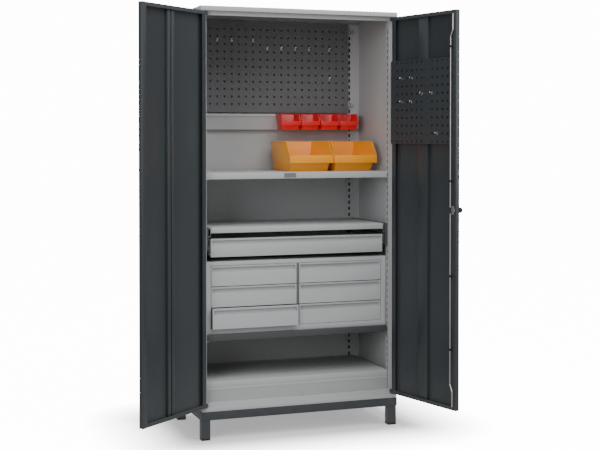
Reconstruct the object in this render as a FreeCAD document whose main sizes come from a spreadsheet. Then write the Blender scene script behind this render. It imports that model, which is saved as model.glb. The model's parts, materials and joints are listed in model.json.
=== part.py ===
import FreeCAD, Part
import math
import os
import Sketcher

# A two-door steel tool cabinet on a leg frame.
# X runs to the right, Y to the back and Z up. The origin is on the floor, at the middle of the
# footprint. The doors stand open, as when the cabinet is in use.

DRIVING_SIZES = {
    # overall
    "overall_width": 1000,
    "overall_depth": 500,
    "body_height": 1900,
    "leg_height": 135,
    "sheet": 1.2,
    "side_inset": 2,
    # leg frame
    "beam_height": 40,
    "beam_wall": 3,
    "leg_width": 42,
    "leg_wall": 2,
    "foot_height": 10,
    "foot_plug": 15,
    "bolt_radius": 4,
    "bolt_length": 14,
    # roof and floor
    "cornice_height": 22,
    "header_height": 20,
    "floor_band": 37,
    "sill_height": 18,
    "wall_hole_radius": 4.5,
    "wall_hole_spacing": 600,
    "wall_hole_level": 1866,
    # posts
    "post_width": 32,
    "post_depth": 37,
    "post_wall": 1.5,
    "rear_post_width": 68,
    "rear_post_depth": 14,
    "slot_pitch": 32,
    "slot_height": 18,
    "slot_width": 10,
    "slot_inset": 13,
    # doors
    "door_thickness": 22,
    "door_gap": 4,
    "door_clearance": 4,
    "meeting_gap": 4,
    "open_left": 140.2,
    "open_right": 103.4,
    "pin_inset": 12,
    "pin_setback": 5,
    "pin_radius": 3.5,
    "pin_length": 16,
    "pin_clearance": 0.06,
    "corner_radius": 2.5,
    "rebate_width": 16,
    "hinge_return": 29,
    "free_return": 30,
    "end_return": 18,
    "left_stiffener_place": 267,
    "left_stiffener_width": 50,
    "right_stiffener_place": 236,
    "right_stiffener_width": 70,
    "stiffener_depth": 14,
    "groove_width": 8,
    "groove_depth": 6,
    "strip_width": 18,
    "strip_overlap": 10,
    "strip_lift": 0.5,
    # lock
    "lock_inset": 16,
    "lock_level": 949,
    "case_width": 30,
    "case_height": 70,
    "case_drop": 40,
    "knob_radius": 13,
    "knob_reach": 22,
    "spindle_radius": 4.5,
    "knob_thickness": 14,
    "cam_radius": 20,
    "cam_thickness": 3,
    "rod_radius": 3.5,
    "rod_offset": 11,
    "rod_end_inset": 12,
    "rod_bend_place": 103,
    "rod_bend_height": 30,
    "rod_tip_gap": 4,
    "rod_gap": 0.8,
    "guide_width": 12,
    "guide_wall": 1.5,
    "guide_clearance": 0.4,
    "guide_height": 10,
    "guide_level_1": 300,
    "guide_level_2": 640,
    "guide_level_3": 1080,
    "guide_level_4": 1700,
    # shelves
    "shelf_lip": 30,
    "shelf_side_gap": 3,
    "shelf_setback": 12,
    "shelf_rear_gap": 3,
    "upper_shelf_level": 1118,
    "middle_shelf_level": 354,
    "bottom_shelf_level": 133,
    "riser_fold": 11,
    "hook_width": 16,
    "hook_height": 20,
    "hook_plate": 2,
    # pegboards
    "peg_pitch": 38,
    "peg_hole": 9,
    "peg_plate": 1.5,
    "board_level": 1413,
    "board_height": 464,
    "board_gap": 14,
    "board_margin": 25,
    "door_board_overlap": 3,
    "door_board_gap": 9,
    "door_board_first": 47,
    "door_board_height": 404,
    "door_board_level": 1254,
    "clip_width": 40,
    "clip_height": 16,
    "clip_thickness": 2,
    "clip_overlap": 14,
    "clip_inset": 40,
    "hook_wire": 2,
    "hook_reach": 26,
    "tool_hook_width": 8,
    "tool_hook_height": 16,
    "tool_hook_plate": 1.5,
    # bin rail and bins
    "rail_level": 1325,
    "rail_height": 81,
    "rail_depth": 12,
    "rail_lip_drop": 14,
    "rail_lip_reach": 5,
    "rail_lip_thickness": 1.5,
    "rail_end_gap": 2,
    "red_bin_width": 102,
    "red_bin_gap": 4,
    "red_bin_depth": 98,
    "red_bin_height": 82,
    "red_bin_end_gap": 19,
    "bin_lip_drop": 12.2,
    "bin_lip_reach": 5.6,
    "bin_lip_thickness": 5,
    "bin_stand_off": 6,
    "orange_bin_width": 229,
    "orange_bin_gap": 5,
    "orange_bin_rear_gap": 47.6,
    "orange_bin_height": 148,
    "orange_bin_end_gap": 15.5,
    "orange_bin_setback": 110,
    "bin_rest_gap": 0.3,
    "bin_wall": 2.5,
    "bin_toe_share": 0.86,
    "bin_shoulder_share": 0.8,
    "bin_front_share": 0.53,
    # slides, worktop and wide drawer
    "slide_height": 45,
    "slide_width": 12.7,
    "slide_rear_gap": 21.6,
    "slide_step": 2,
    "slide_wall": 1.5,
    "slide_clearance": 0.4,
    "carrier_width": 12,
    "carrier_wall": 1.5,
    "carrier_foot": 8,
    "worktop_above_drawer": 54,
    "worktop_lip": 27,
    "worktop_setback": 34,
    "worktop_out": 20,
    "wide_drawer_above_unit": 22,
    "wide_drawer_height": 87,
    "wide_drawer_setback": 20,
    # drawer unit
    "unit_plinth": 25,
    "unit_setback": 30,
    "unit_side": 26,
    "unit_top_band": 19,
    "divider_width": 10,
    "drawer_rows": 3,
    "drawer_pitch": 100,
    "drawer_gap": 3.5,
    "drawer_side_gap": 2,
    "drawer_rear_gap": 39.6,
    "tray_lift": 6,
    "drawer_out": 28,
    "runner_width": 12,
    "front_depth": 20,
    "grip_height": 21,
    "grip_depth": 13,
    "grip_top": 8,
    "grip_inset": 6,
    "rail_flange": 9,
    "tray_rim": 22,
}

doc = FreeCAD.newDocument("tool_cabinet")
sheet = doc.addObject("Spreadsheet::Sheet", "dims")
for row, (alias, value) in enumerate(DRIVING_SIZES.items(), start=1):
    sheet.set(f"A{row}", alias)
    sheet.set(f"B{row}", str(value))
    sheet.setAlias(f"B{row}", alias)
doc.recompute()


def size(alias):
    """The value of one driving size, read from the sheet."""
    return float(getattr(sheet, alias))


# Places that several pieces share, as expressions on the sheet.
HALF = "(dims.overall_width / 2)"
FRONT = "(-dims.overall_depth / 2)"
BACK = "(dims.overall_depth / 2)"
FACE = f"({FRONT} + dims.door_thickness + dims.door_gap)"
SIDE = f"({HALF} - dims.side_inset)"
INNER = f"({SIDE} - dims.sheet)"
OPENING = f"({SIDE} - dims.post_width)"
BASE = "dims.leg_height"
TOP = "(dims.leg_height + dims.body_height)"
SOFFIT = f"({TOP} - dims.cornice_height)"
FLOOR = f"({BASE} + dims.floor_band)"
BACK_SHEET = f"({BACK} - 2 * dims.sheet)"
REAR_POST = f"({BACK_SHEET} - dims.rear_post_depth)"
SHELF_HALF = f"({OPENING} - dims.shelf_side_gap)"
SHELF_FRONT = f"({FACE} + dims.shelf_setback)"
SHELF_REAR = f"({REAR_POST} - dims.shelf_rear_gap)"
DOOR_BOTTOM = f"({BASE} + dims.sill_height + dims.door_clearance)"
DOOR_TOP = f"({SOFFIT} - dims.door_clearance)"
# Places on a door, measured from its hinge pin: along the leaf, and towards the cabinet.
FREE_EDGE = f"({SIDE} - dims.meeting_gap / 2 - dims.pin_inset)"
OUTSIDE = "(-dims.pin_setback)"
INSIDE = "(dims.door_thickness - dims.pin_setback)"
LOCK_X = f"({FREE_EDGE} - dims.lock_inset)"
ROD_X = f"({LOCK_X} - dims.rod_offset)"
ROD_END = f"({FREE_EDGE} - dims.rod_end_inset)"
ROD_Y = f"({INSIDE} + dims.door_gap + dims.sheet + dims.rod_gap + dims.rod_radius)"
LOCK_Z = f"({BASE} + dims.lock_level)"
PIN_X = f"({SIDE} - dims.pin_inset)"
PIN_Y = f"({FACE} - dims.door_gap - {INSIDE})"

nodes = []


def value_of(expression):
    """The number that an expression on the sheet gives."""
    return float(sheet.evalExpression(str(expression).replace("dims.", "")))


# ---------------------------------------------------------------- building blocks

def bind(obj, prop, expression):
    obj.setExpression(prop, str(expression))


def place(obj, x=0, y=0, z=0, turn=0):
    """Puts an object at x, y, z, turned about Z by turn degrees."""
    obj.Placement = FreeCAD.Placement(FreeCAD.Vector(), FreeCAD.Rotation(FreeCAD.Vector(0, 0, 1), 1))
    bind(obj, "Placement.Base.x", x)
    bind(obj, "Placement.Base.y", y)
    bind(obj, "Placement.Base.z", z)
    bind(obj, "Placement.Rotation.Angle", turn)
    return obj


def box(x0, x1, y0, y1, z0, z1):
    """A box between two corners, each given as expressions."""
    obj = doc.addObject("Part::Box", "box")
    bind(obj, "Length", f"({x1}) - ({x0})")
    bind(obj, "Width", f"({y1}) - ({y0})")
    bind(obj, "Height", f"({z1}) - ({z0})")
    bind(obj, "Placement.Base.x", x0)
    bind(obj, "Placement.Base.y", y0)
    bind(obj, "Placement.Base.z", z0)
    return obj


def side_box(side, x0, x1, y0, y1, z0, z1):
    """A box given for the right-hand side, or its mirror image for side -1."""
    if side > 0:
        return box(x0, x1, y0, y1, z0, z1)
    return box(f"-({x1})", f"-({x0})", y0, y1, z0, z1)


def cylinder(radius, length, x, y, z, axis="z"):
    """A round bar from x, y, z along +Z, or along -Y for axis y."""
    obj = doc.addObject("Part::Cylinder", "bar")
    bind(obj, "Radius", radius)
    bind(obj, "Height", length)
    if axis == "y":
        obj.Placement.Rotation = FreeCAD.Rotation(FreeCAD.Vector(1, 0, 0), 90)
    bind(obj, "Placement.Base.x", x)
    bind(obj, "Placement.Base.y", y)
    bind(obj, "Placement.Base.z", z)
    return obj


def fuse(parts):
    if len(parts) == 1:
        return parts[0]
    obj = doc.addObject("Part::MultiFuse", "joined")
    obj.Shapes = parts
    obj.Refine = True
    return obj


def cut(base, tools):
    obj = doc.addObject("Part::Cut", "trimmed")
    obj.Base = base
    obj.Tool = fuse(tools)
    return obj


def group(parts):
    """Several separate solids that share one node."""
    obj = doc.addObject("Part::Compound", "set")
    obj.Links = parts
    return obj


def node(obj, label):
    """Names a finished piece. Its label is its file's name."""
    obj.Label = label
    nodes.append(obj)
    return obj


def origin_plane(body, role):
    return [item for item in body.Origin.OriginFeatures if item.Role == role][0]


def outline(body, role, points, offset=None):
    """A closed outline of straight sides on one of the body's planes, each corner bound to the sheet."""
    sketch = body.newObject("Sketcher::SketchObject", "outline")
    sketch.AttachmentSupport = (origin_plane(body, role), "")
    sketch.MapMode = "FlatFace"
    if offset is not None:
        bind(sketch, "AttachmentOffset.Base.z", offset)
    corners = [FreeCAD.Vector(value_of(across), value_of(along), 0) for across, along in points]
    count = len(corners)
    for index in range(count):
        sketch.addGeometry(Part.LineSegment(corners[index], corners[(index + 1) % count]))
    for index in range(count):
        sketch.addConstraint(Sketcher.Constraint("Coincident", index, 2, (index + 1) % count, 1))
    for index, (across, along) in enumerate(points):
        corner = corners[index]
        for kind, distance, expression in (("DistanceX", corner.x, across), ("DistanceY", corner.y, along)):
            number = sketch.addConstraint(Sketcher.Constraint(kind, -1, 1, index, 1, distance))
            bind(sketch, f"Constraints[{number}]", expression)
    return sketch


def rectangle(across0, across1, along0, along1):
    return [(across0, along0), (across1, along0), (across1, along1), (across0, along1)]


def pad(body, sketch, length, reverse=False):
    feature = body.newObject("PartDesign::Pad", "pad")
    feature.Profile = sketch
    bind(feature, "Length", length)
    feature.Reversed = reverse
    doc.recompute()
    return feature


def pocket_through(body, sketch):
    """Cuts an outline right through the body, and makes sure that it cut something."""
    before = body.Shape.Volume
    feature = body.newObject("PartDesign::Pocket", "pocket")
    feature.Profile = sketch
    feature.Type = "ThroughAll"
    feature.Midplane = True
    doc.recompute()
    if not feature.Shape.Volume < before:
        raise RuntimeError(f"the pocket in {body.Label} cut nothing")
    return feature


def row_pattern(body, original, sketch, axis, count, pitch):
    feature = body.newObject("PartDesign::LinearPattern", "row")
    feature.Originals = [original]
    feature.Direction = (sketch, [axis])
    feature.Occurrences = count
    bind(feature, "Length", f"{count - 1} * {pitch}")
    body.Tip = feature
    doc.recompute()
    return feature


def grid_pattern(body, original, sketch, columns, rows, pitch):
    """Repeats a feature across and up a sketch's plane."""
    grid = body.newObject("PartDesign::MultiTransform", "grid")
    grid.Originals = [original]
    steps = []
    for axis, count in (("H_Axis", columns), ("V_Axis", rows)):
        step = body.newObject("PartDesign::LinearPattern", "step")
        step.Direction = (sketch, [axis])
        step.Occurrences = count
        bind(step, "Length", f"{count - 1} * {pitch}")
        steps.append(step)
    grid.Transformations = steps
    body.Tip = grid
    doc.recompute()
    return grid


# ---------------------------------------------------------------- leg frame

def leg_frame():
    underside = f"({BASE} - dims.beam_height)"
    ring = box(f"-{HALF}", HALF, FRONT, BACK, underside, BASE)
    inside = box(f"-{HALF} + dims.beam_wall", f"{HALF} - dims.beam_wall",
                 f"{FRONT} + dims.beam_wall", f"{BACK} - dims.beam_wall",
                 f"{underside} - 1", f"{BASE} - dims.beam_wall")
    middle = box(f"-{HALF} + dims.beam_height", f"{HALF} - dims.beam_height",
                 f"{FRONT} + dims.beam_height", f"{BACK} - dims.beam_height",
                 underside, f"{BASE} + 1")
    bolt_holes = [cylinder("dims.bolt_radius", "4 * dims.beam_wall", x, y, f"{BASE} - 2 * dims.beam_wall")
                  for x, y in bolt_places()]
    node(cut(ring, [inside, middle] + bolt_holes), "leg_frame")

    outer_x = f"({HALF} - dims.beam_wall)"
    outer_y = f"({BACK} - dims.beam_wall)"
    legs, feet = [], []
    for side in (-1, 1):
        for end in (-1, 1):
            legs.append(leg_tube(side, end, outer_x, outer_y))
            feet.append(foot_cap(side, end, outer_x, outer_y))
    node(group(legs), "legs")
    node(group(feet), "foot_caps")


def corner_box(side, end, outer_x, outer_y, inset, width, z0, z1):
    """A square bar in one corner of the frame, its outer faces inset from outer_x and outer_y."""
    x0 = f"{outer_x} - ({inset}) - ({width})"
    x1 = f"{outer_x} - ({inset})"
    y0 = f"{outer_y} - ({inset}) - ({width})"
    y1 = f"{outer_y} - ({inset})"
    if end < 0:
        y0, y1 = f"-({y1})", f"-({y0})"
    return side_box(side, x0, x1, y0, y1, z0, z1)


def leg_tube(side, end, outer_x, outer_y):
    top = f"{BASE} - dims.beam_wall"
    tube = corner_box(side, end, outer_x, outer_y, 0, "dims.leg_width", "dims.foot_height", top)
    hollow = corner_box(side, end, outer_x, outer_y, "dims.leg_wall",
                        "dims.leg_width - 2 * dims.leg_wall", "dims.foot_height - 1", f"{top} + 1")
    return cut(tube, [hollow])


def foot_cap(side, end, outer_x, outer_y):
    pad_block = corner_box(side, end, outer_x, outer_y, 0, "dims.leg_width", 0, "dims.foot_height")
    plug = corner_box(side, end, outer_x, outer_y, "dims.leg_wall",
                      "dims.leg_width - 2 * dims.leg_wall", 0, "dims.foot_height + dims.foot_plug")
    return fuse([pad_block, plug])


def bolt_places():
    """Where the carcass is bolted to the leg frame: behind the legs, on the side beams."""
    x = f"({HALF} - dims.beam_height / 2)"
    y = f"({BACK} - 2.5 * dims.beam_height)"
    return [(f"-{x}", f"-{y}"), (x, f"-{y}"), (f"-{x}", y), (x, y)]


def frame_bolts():
    """Button-headed bolts: a shank through beam and floor flange, with a head below."""
    bolts = []
    for x, y in bolt_places():
        shank = cylinder("dims.bolt_radius", "dims.beam_wall + dims.sheet", x, y, f"{BASE} - dims.beam_wall")
        head = cylinder("1.8 * dims.bolt_radius", "dims.bolt_radius", x, y,
                        f"{BASE} - dims.beam_wall - dims.bolt_radius")
        bolts.append(fuse([shank, head]))
    node(group(bolts), "frame_bolts")


# ---------------------------------------------------------------- carcass

def roof_panel():
    shell = box(f"-{HALF}", HALF, FRONT, BACK, SOFFIT, TOP)
    inside = box(f"-{HALF} + dims.sheet", f"{HALF} - dims.sheet", f"{FRONT} + dims.sheet",
                 f"{BACK} - dims.sheet", f"{SOFFIT} - 1", f"{TOP} - dims.sheet")
    soffit = box(f"-{HALF} + dims.sheet", f"{HALF} - dims.sheet", f"{FRONT} + dims.sheet / 2",
                 FACE, SOFFIT, f"{SOFFIT} + dims.sheet")
    header = box(f"-{OPENING}", OPENING, FACE, f"{FACE} + dims.sheet",
                 f"{SOFFIT} - dims.header_height", f"{SOFFIT} + dims.sheet")
    upstand = box(f"-{OPENING}", OPENING, f"{FACE} - dims.sheet", f"{FACE} + dims.sheet",
                  SOFFIT, f"{SOFFIT} + dims.sheet")
    node(fuse([cut(shell, [inside]), soffit, header, upstand]), "roof_panel")


def floor_panel():
    top = box(f"-{INNER}", INNER, FACE, BACK_SHEET, f"{FLOOR} - dims.sheet", FLOOR)
    band = box(f"-{INNER}", INNER, FACE, f"{FACE} + dims.sheet", BASE, FLOOR)
    rear = box(f"-{INNER}", INNER, f"{BACK_SHEET} - dims.sheet", BACK_SHEET, BASE, FLOOR)
    flanges = [side_box(side, f"{HALF} - dims.beam_height", INNER, FACE, BACK_SHEET,
                        BASE, f"{BASE} + dims.sheet") for side in (-1, 1)]
    sill_top = f"({BASE} + dims.sill_height)"
    sill_front = box(f"-{SIDE}", SIDE, FRONT, f"{FRONT} + dims.sheet", BASE, sill_top)
    sill_cap = box(f"-{SIDE}", SIDE, FRONT, FACE, f"{sill_top} - dims.sheet", sill_top)
    sill_joint = box(f"-{INNER}", INNER, FRONT, f"{FACE} + dims.sheet", f"{sill_top} - dims.sheet", sill_top)
    holes = [cylinder("dims.bolt_radius", "4 * dims.sheet", x, y, f"{BASE} - dims.sheet")
             for x, y in bolt_places()]
    catch_x = f"({PIN_X} - {ROD_END})"
    catch_x0, catch_x1 = f"({catch_x} - 2 * dims.rod_radius)", f"({catch_x} + 2 * dims.rod_radius)"
    catch_rear = f"({FACE} + 4 * dims.rod_radius)"
    catch_low = f"({FLOOR} - 6 * dims.rod_radius)"
    catch = box(catch_x0, catch_x1, f"{FACE} + dims.sheet", catch_rear, catch_low, f"{FLOOR} + 1")
    catch_cup = box(f"{catch_x0} - dims.sheet", f"{catch_x1} + dims.sheet", FACE,
                    f"{catch_rear} + dims.sheet", f"{catch_low} - dims.sheet", FLOOR)
    shell = fuse([top, band, rear, catch_cup] + flanges + [sill_front, sill_cap, sill_joint])
    node(cut(shell, holes + [catch]), "floor_panel")


def side_panels():
    for side, label in ((-1, "left_side_panel"), (1, "right_side_panel")):
        node(side_box(side, INNER, SIDE, FACE, f"{BACK} - dims.sheet", BASE, f"{TOP} - dims.sheet"), label)


def back_panels():
    for side, label in ((-1, "left_back_panel"), (1, "right_back_panel")):
        panel = side_box(side, 0, INNER, BACK_SHEET, f"{BACK} - dims.sheet", BASE, f"{TOP} - dims.sheet")
        x = f"{side} * dims.wall_hole_spacing / 2"
        hole = cylinder("dims.wall_hole_radius", "6 * dims.sheet", x, f"{BACK} + dims.sheet",
                        f"{BASE} + dims.wall_hole_level", "y")
        node(cut(panel, [hole]), label)


def slotted_post(label, profile, slot_plane, slot_across, slot_offset):
    """A folded post with a row of hook slots from bottom to top."""
    body = doc.addObject("PartDesign::Body", label)
    pad(body, outline(body, "XY_Plane", profile), f"{SOFFIT} - {FLOOR}")
    margin = "2 * dims.slot_pitch"
    slot = outline(body, slot_plane, rectangle(f"{slot_across} - dims.slot_width / 2",
                                               f"{slot_across} + dims.slot_width / 2",
                                               margin, f"{margin} + dims.slot_height"), slot_offset)
    before = body.Shape.Volume
    opening = body.newObject("PartDesign::Pocket", "slot")
    opening.Profile = slot
    bind(opening, "Length", "6 * dims.post_wall")
    opening.Midplane = True
    doc.recompute()
    if not opening.Shape.Volume < before:
        raise RuntimeError(f"the slot in {label} cut nothing")
    free_height = value_of(f"{SOFFIT} - {FLOOR} - 4 * dims.slot_pitch")
    count = int(free_height // size("slot_pitch")) + 1
    row_pattern(body, opening, slot, "V_Axis", count, "dims.slot_pitch")
    place(body, 0, 0, FLOOR)
    node(body, label)


def posts():
    """Front posts are channels with slots facing inwards; rear posts have slots facing forwards."""
    for side, word in ((-1, "left"), (1, "right")):
        x0, x1 = f"{side} * {OPENING}", f"{side} * {INNER}"
        wall = f"{side} * dims.post_wall"
        y0, y1 = FACE, f"({FACE} + dims.post_depth)"
        front = [(x0, y0), (x1, y0), (x1, f"{y0} + dims.post_wall"), (f"{x0} + {wall}", f"{y0} + dims.post_wall"),
                 (f"{x0} + {wall}", f"{y1} - dims.post_wall"), (x1, f"{y1} - dims.post_wall"), (x1, y1), (x0, y1)]
        slotted_post(f"{word}_front_post", front, "YZ_Plane",
                     f"({FACE} + dims.post_depth / 2)", x0)
        x0 = f"{side} * ({INNER} - dims.rear_post_width)"
        y0, y1 = REAR_POST, BACK_SHEET
        rear = [(x0, y0), (x1, y0), (x1, f"{y0} + dims.post_wall"), (f"{x0} + {wall}", f"{y0} + dims.post_wall"),
                (f"{x0} + {wall}", y1), (x0, y1)]
        slotted_post(f"{word}_rear_post", rear, "XZ_Plane",
                     f"({x0} + {side} * dims.slot_inset)", f"-{REAR_POST}")


# ---------------------------------------------------------------- shelves

def tray_shelf(half_width, y0, y1, top, lip):
    """A shelf folded down on all four sides, open below."""
    shell = box(f"-({half_width})", half_width, y0, y1, f"{top} - ({lip})", top)
    inside = box(f"-({half_width}) + dims.sheet", f"{half_width} - dims.sheet", f"{y0} + dims.sheet",
                 f"{y1} - dims.sheet", f"{top} - ({lip}) - 1", f"{top} - dims.sheet")
    return cut(shell, [inside])


def shelves():
    for alias, label in (("upper_shelf_level", "upper_shelf"), ("middle_shelf_level", "middle_shelf"),
                         ("bottom_shelf_level", "bottom_shelf")):
        top = f"({BASE} + dims.{alias})"
        node(tray_shelf(SHELF_HALF, SHELF_FRONT, SHELF_REAR, top, "dims.shelf_lip"), label)

    riser_top = f"({BASE} + dims.bottom_shelf_level - dims.shelf_lip)"
    face = box(f"-{SHELF_HALF}", SHELF_HALF, SHELF_FRONT, f"{SHELF_FRONT} + dims.sheet", FLOOR, riser_top)
    cap = box(f"-{SHELF_HALF}", SHELF_HALF, SHELF_FRONT, f"{SHELF_FRONT} + dims.post_depth",
              f"{riser_top} - dims.sheet", riser_top)
    fold = box(f"-{SHELF_HALF}", SHELF_HALF, f"{SHELF_FRONT} - dims.sheet", f"{SHELF_FRONT} + dims.sheet",
               f"{riser_top} - dims.riser_fold", riser_top)
    node(fuse([face, cap, fold]), "plinth_riser")


def shelf_hooks():
    """Pairs of hooks that carry each shelf on its posts."""
    hooks = []
    for alias in ("upper_shelf_level", "middle_shelf_level"):
        top = f"({BASE} + dims.{alias} - dims.shelf_lip)"
        for side in (-1, 1):
            y = f"({FACE} + dims.post_depth / 2)"
            plate = side_box(side, f"{OPENING} - dims.hook_plate", OPENING, f"{y} - dims.hook_width / 2",
                             f"{y} + dims.hook_width / 2", f"{top} - dims.hook_height", top)
            ledge = side_box(side, f"{OPENING} - dims.hook_width", OPENING, f"{y} - dims.hook_width / 2",
                             f"{y} + dims.hook_width / 2", f"{top} - dims.hook_plate", top)
            hooks.append(fuse([plate, ledge]))
            x = f"({INNER} - dims.rear_post_width + dims.slot_inset)"
            plate = side_box(side, f"{x} - dims.hook_width / 2", f"{x} + dims.hook_width / 2",
                             f"{REAR_POST} - dims.hook_plate", REAR_POST, f"{top} - dims.hook_height", top)
            ledge = side_box(side, f"{x} - dims.hook_width / 2", f"{x} + dims.hook_width / 2",
                             f"{REAR_POST} - dims.hook_width", REAR_POST, f"{top} - dims.hook_plate", top)
            hooks.append(fuse([plate, ledge]))
    node(group(hooks), "shelf_hooks")


# ---------------------------------------------------------------- back pegboard and bin rail

def perforated_board(label, x0, x1, y, height, first, columns, rows, skip):
    """A plate with its back at y and a grid of square holes from a first column on. The column
    numbered skip is left out."""
    body = doc.addObject("PartDesign::Body", label)
    plane_offset = f"-({y})"
    pad(body, outline(body, "XZ_Plane", rectangle(x0, x1, 0, height), plane_offset), "dims.peg_plate")
    left = f"(({first}) - dims.peg_hole / 2)"
    low = f"(({height} - {rows - 1} * dims.peg_pitch) / 2 - dims.peg_hole / 2)"
    runs = [(0, columns)] if skip is None else [(0, skip), (skip + 1, columns - skip - 1)]
    for start, count in runs:
        x = f"({left} + {start} * dims.peg_pitch)"
        corners = rectangle(x, f"{x} + dims.peg_hole", low, f"{low} + dims.peg_hole")
        hole = outline(body, "XZ_Plane", corners, plane_offset)
        grid_pattern(body, pocket_through(body, hole), hole, count, rows, "dims.peg_pitch")
    return node(body, label)


def fitting_count(length, margin):
    """How many pegboard holes fit in a length with a margin at each end."""
    return int((value_of(length) - 2 * value_of(margin)) // size("peg_pitch")) + 1


def back_board():
    """The board between the rear posts, its clips and the tool hooks in it."""
    half = f"({INNER} - dims.rear_post_width - 1)"
    front = f"({REAR_POST} - dims.board_gap)"
    columns = fitting_count(f"2 * {half}", "dims.board_margin")
    first = f"(-{columns - 1} * dims.peg_pitch / 2)"
    board = perforated_board("back_pegboard", f"-{half}", half, front, "dims.board_height", first, columns,
                             fitting_count("dims.board_height", "dims.board_margin"), None)
    low = f"({BASE} + dims.board_level)"
    place(board, 0, 0, low)

    inner = f"({INNER} - dims.rear_post_width - dims.clip_overlap)"
    outer = f"({inner} + dims.clip_width)"
    clips = []
    for side in (-1, 1):
        for level in ("dims.clip_inset", "(dims.board_height - dims.clip_inset)"):
            z0 = f"({low} + {level} - dims.clip_height / 2)"
            z1 = f"({z0} + dims.clip_height)"
            arm = side_box(side, inner, outer, front, f"{front} + dims.clip_thickness", z0, z1)
            foot = side_box(side, f"{outer} - dims.clip_thickness", outer, front, REAR_POST, z0, z1)
            clips.append(fuse([arm, foot]))
    node(group(clips), "pegboard_clips")

    face = f"({front} - dims.peg_plate)"
    hooks = []
    for column, row in ((1, 9), (3, 9), (5, 9), (8, 9), (10, 8), (12, 8), (14, 8), (16, 8), (19, 4), (19, 8)):
        x = f"({first} + {column} * dims.peg_pitch)"
        z = f"({low} + {row} * dims.peg_pitch + dims.board_margin)"
        hooks.append(wire_hook(x, face, z, -1))
    node(group(hooks), "pegboard_hooks")


def wire_hook(x, y, z, way):
    """A tool hook: a small plate against the board, a square arm and an upturned tip."""
    near = y if way > 0 else f"{y} - dims.tool_hook_plate"
    plate = box(f"{x} - dims.tool_hook_width / 2", f"{x} + dims.tool_hook_width / 2",
                near, f"{near} + dims.tool_hook_plate",
                f"{z} - dims.tool_hook_height / 2", f"{z} + dims.tool_hook_height / 2")
    start = y if way > 0 else f"{y} - dims.hook_reach"
    arm = box(f"{x} - dims.hook_wire", f"{x} + dims.hook_wire", start, f"{start} + dims.hook_reach",
              f"{z} - dims.hook_wire", f"{z} + dims.hook_wire")
    tip = cylinder("dims.hook_wire", "6 * dims.hook_wire", x, f"{y} + {way} * dims.hook_reach",
                   f"{z} - dims.hook_wire")
    return fuse([plate, arm, tip])


def bin_rail():
    """A shallow channel across the back that the small bins hang from by its top lip."""
    low = f"({BASE} + dims.rail_level)"
    high = f"({low} + dims.rail_height)"
    front = f"({REAR_POST} - dims.rail_depth)"
    half = f"({INNER} - dims.rail_end_gap)"
    face = box(f"-{half}", half, front, f"{front} + dims.sheet", low, high)
    top = box(f"-{half}", half, front, REAR_POST, f"{high} - dims.sheet", high)
    bottom = box(f"-{half}", half, front, REAR_POST, low, f"{low} + dims.sheet")
    lip_low = f"({high} - dims.rail_lip_drop)"
    lip = box(f"-{half}", half, f"{front} - dims.rail_lip_reach", f"{front} + dims.sheet",
              lip_low, f"{lip_low} + dims.rail_lip_thickness")
    node(fuse([face, top, bottom, lip]), "bin_rail")


# ---------------------------------------------------------------- doors

def leaf_box(side, s0, s1, y0, y1, z0, z1):
    """A box on a door, given by its distances from the hinge pin along the leaf."""
    if side < 0:
        return box(s0, s1, y0, y1, z0, z1)
    return box(f"-({s1})", f"-({s0})", y0, y1, z0, z1)


def hang(obj, side):
    """Swings a piece of a door from its closed place to where the door stands open."""
    turn = "-dims.open_left" if side < 0 else "dims.open_right"
    return place(obj, f"{side} * {PIN_X}", PIN_Y, 0, turn)


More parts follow.
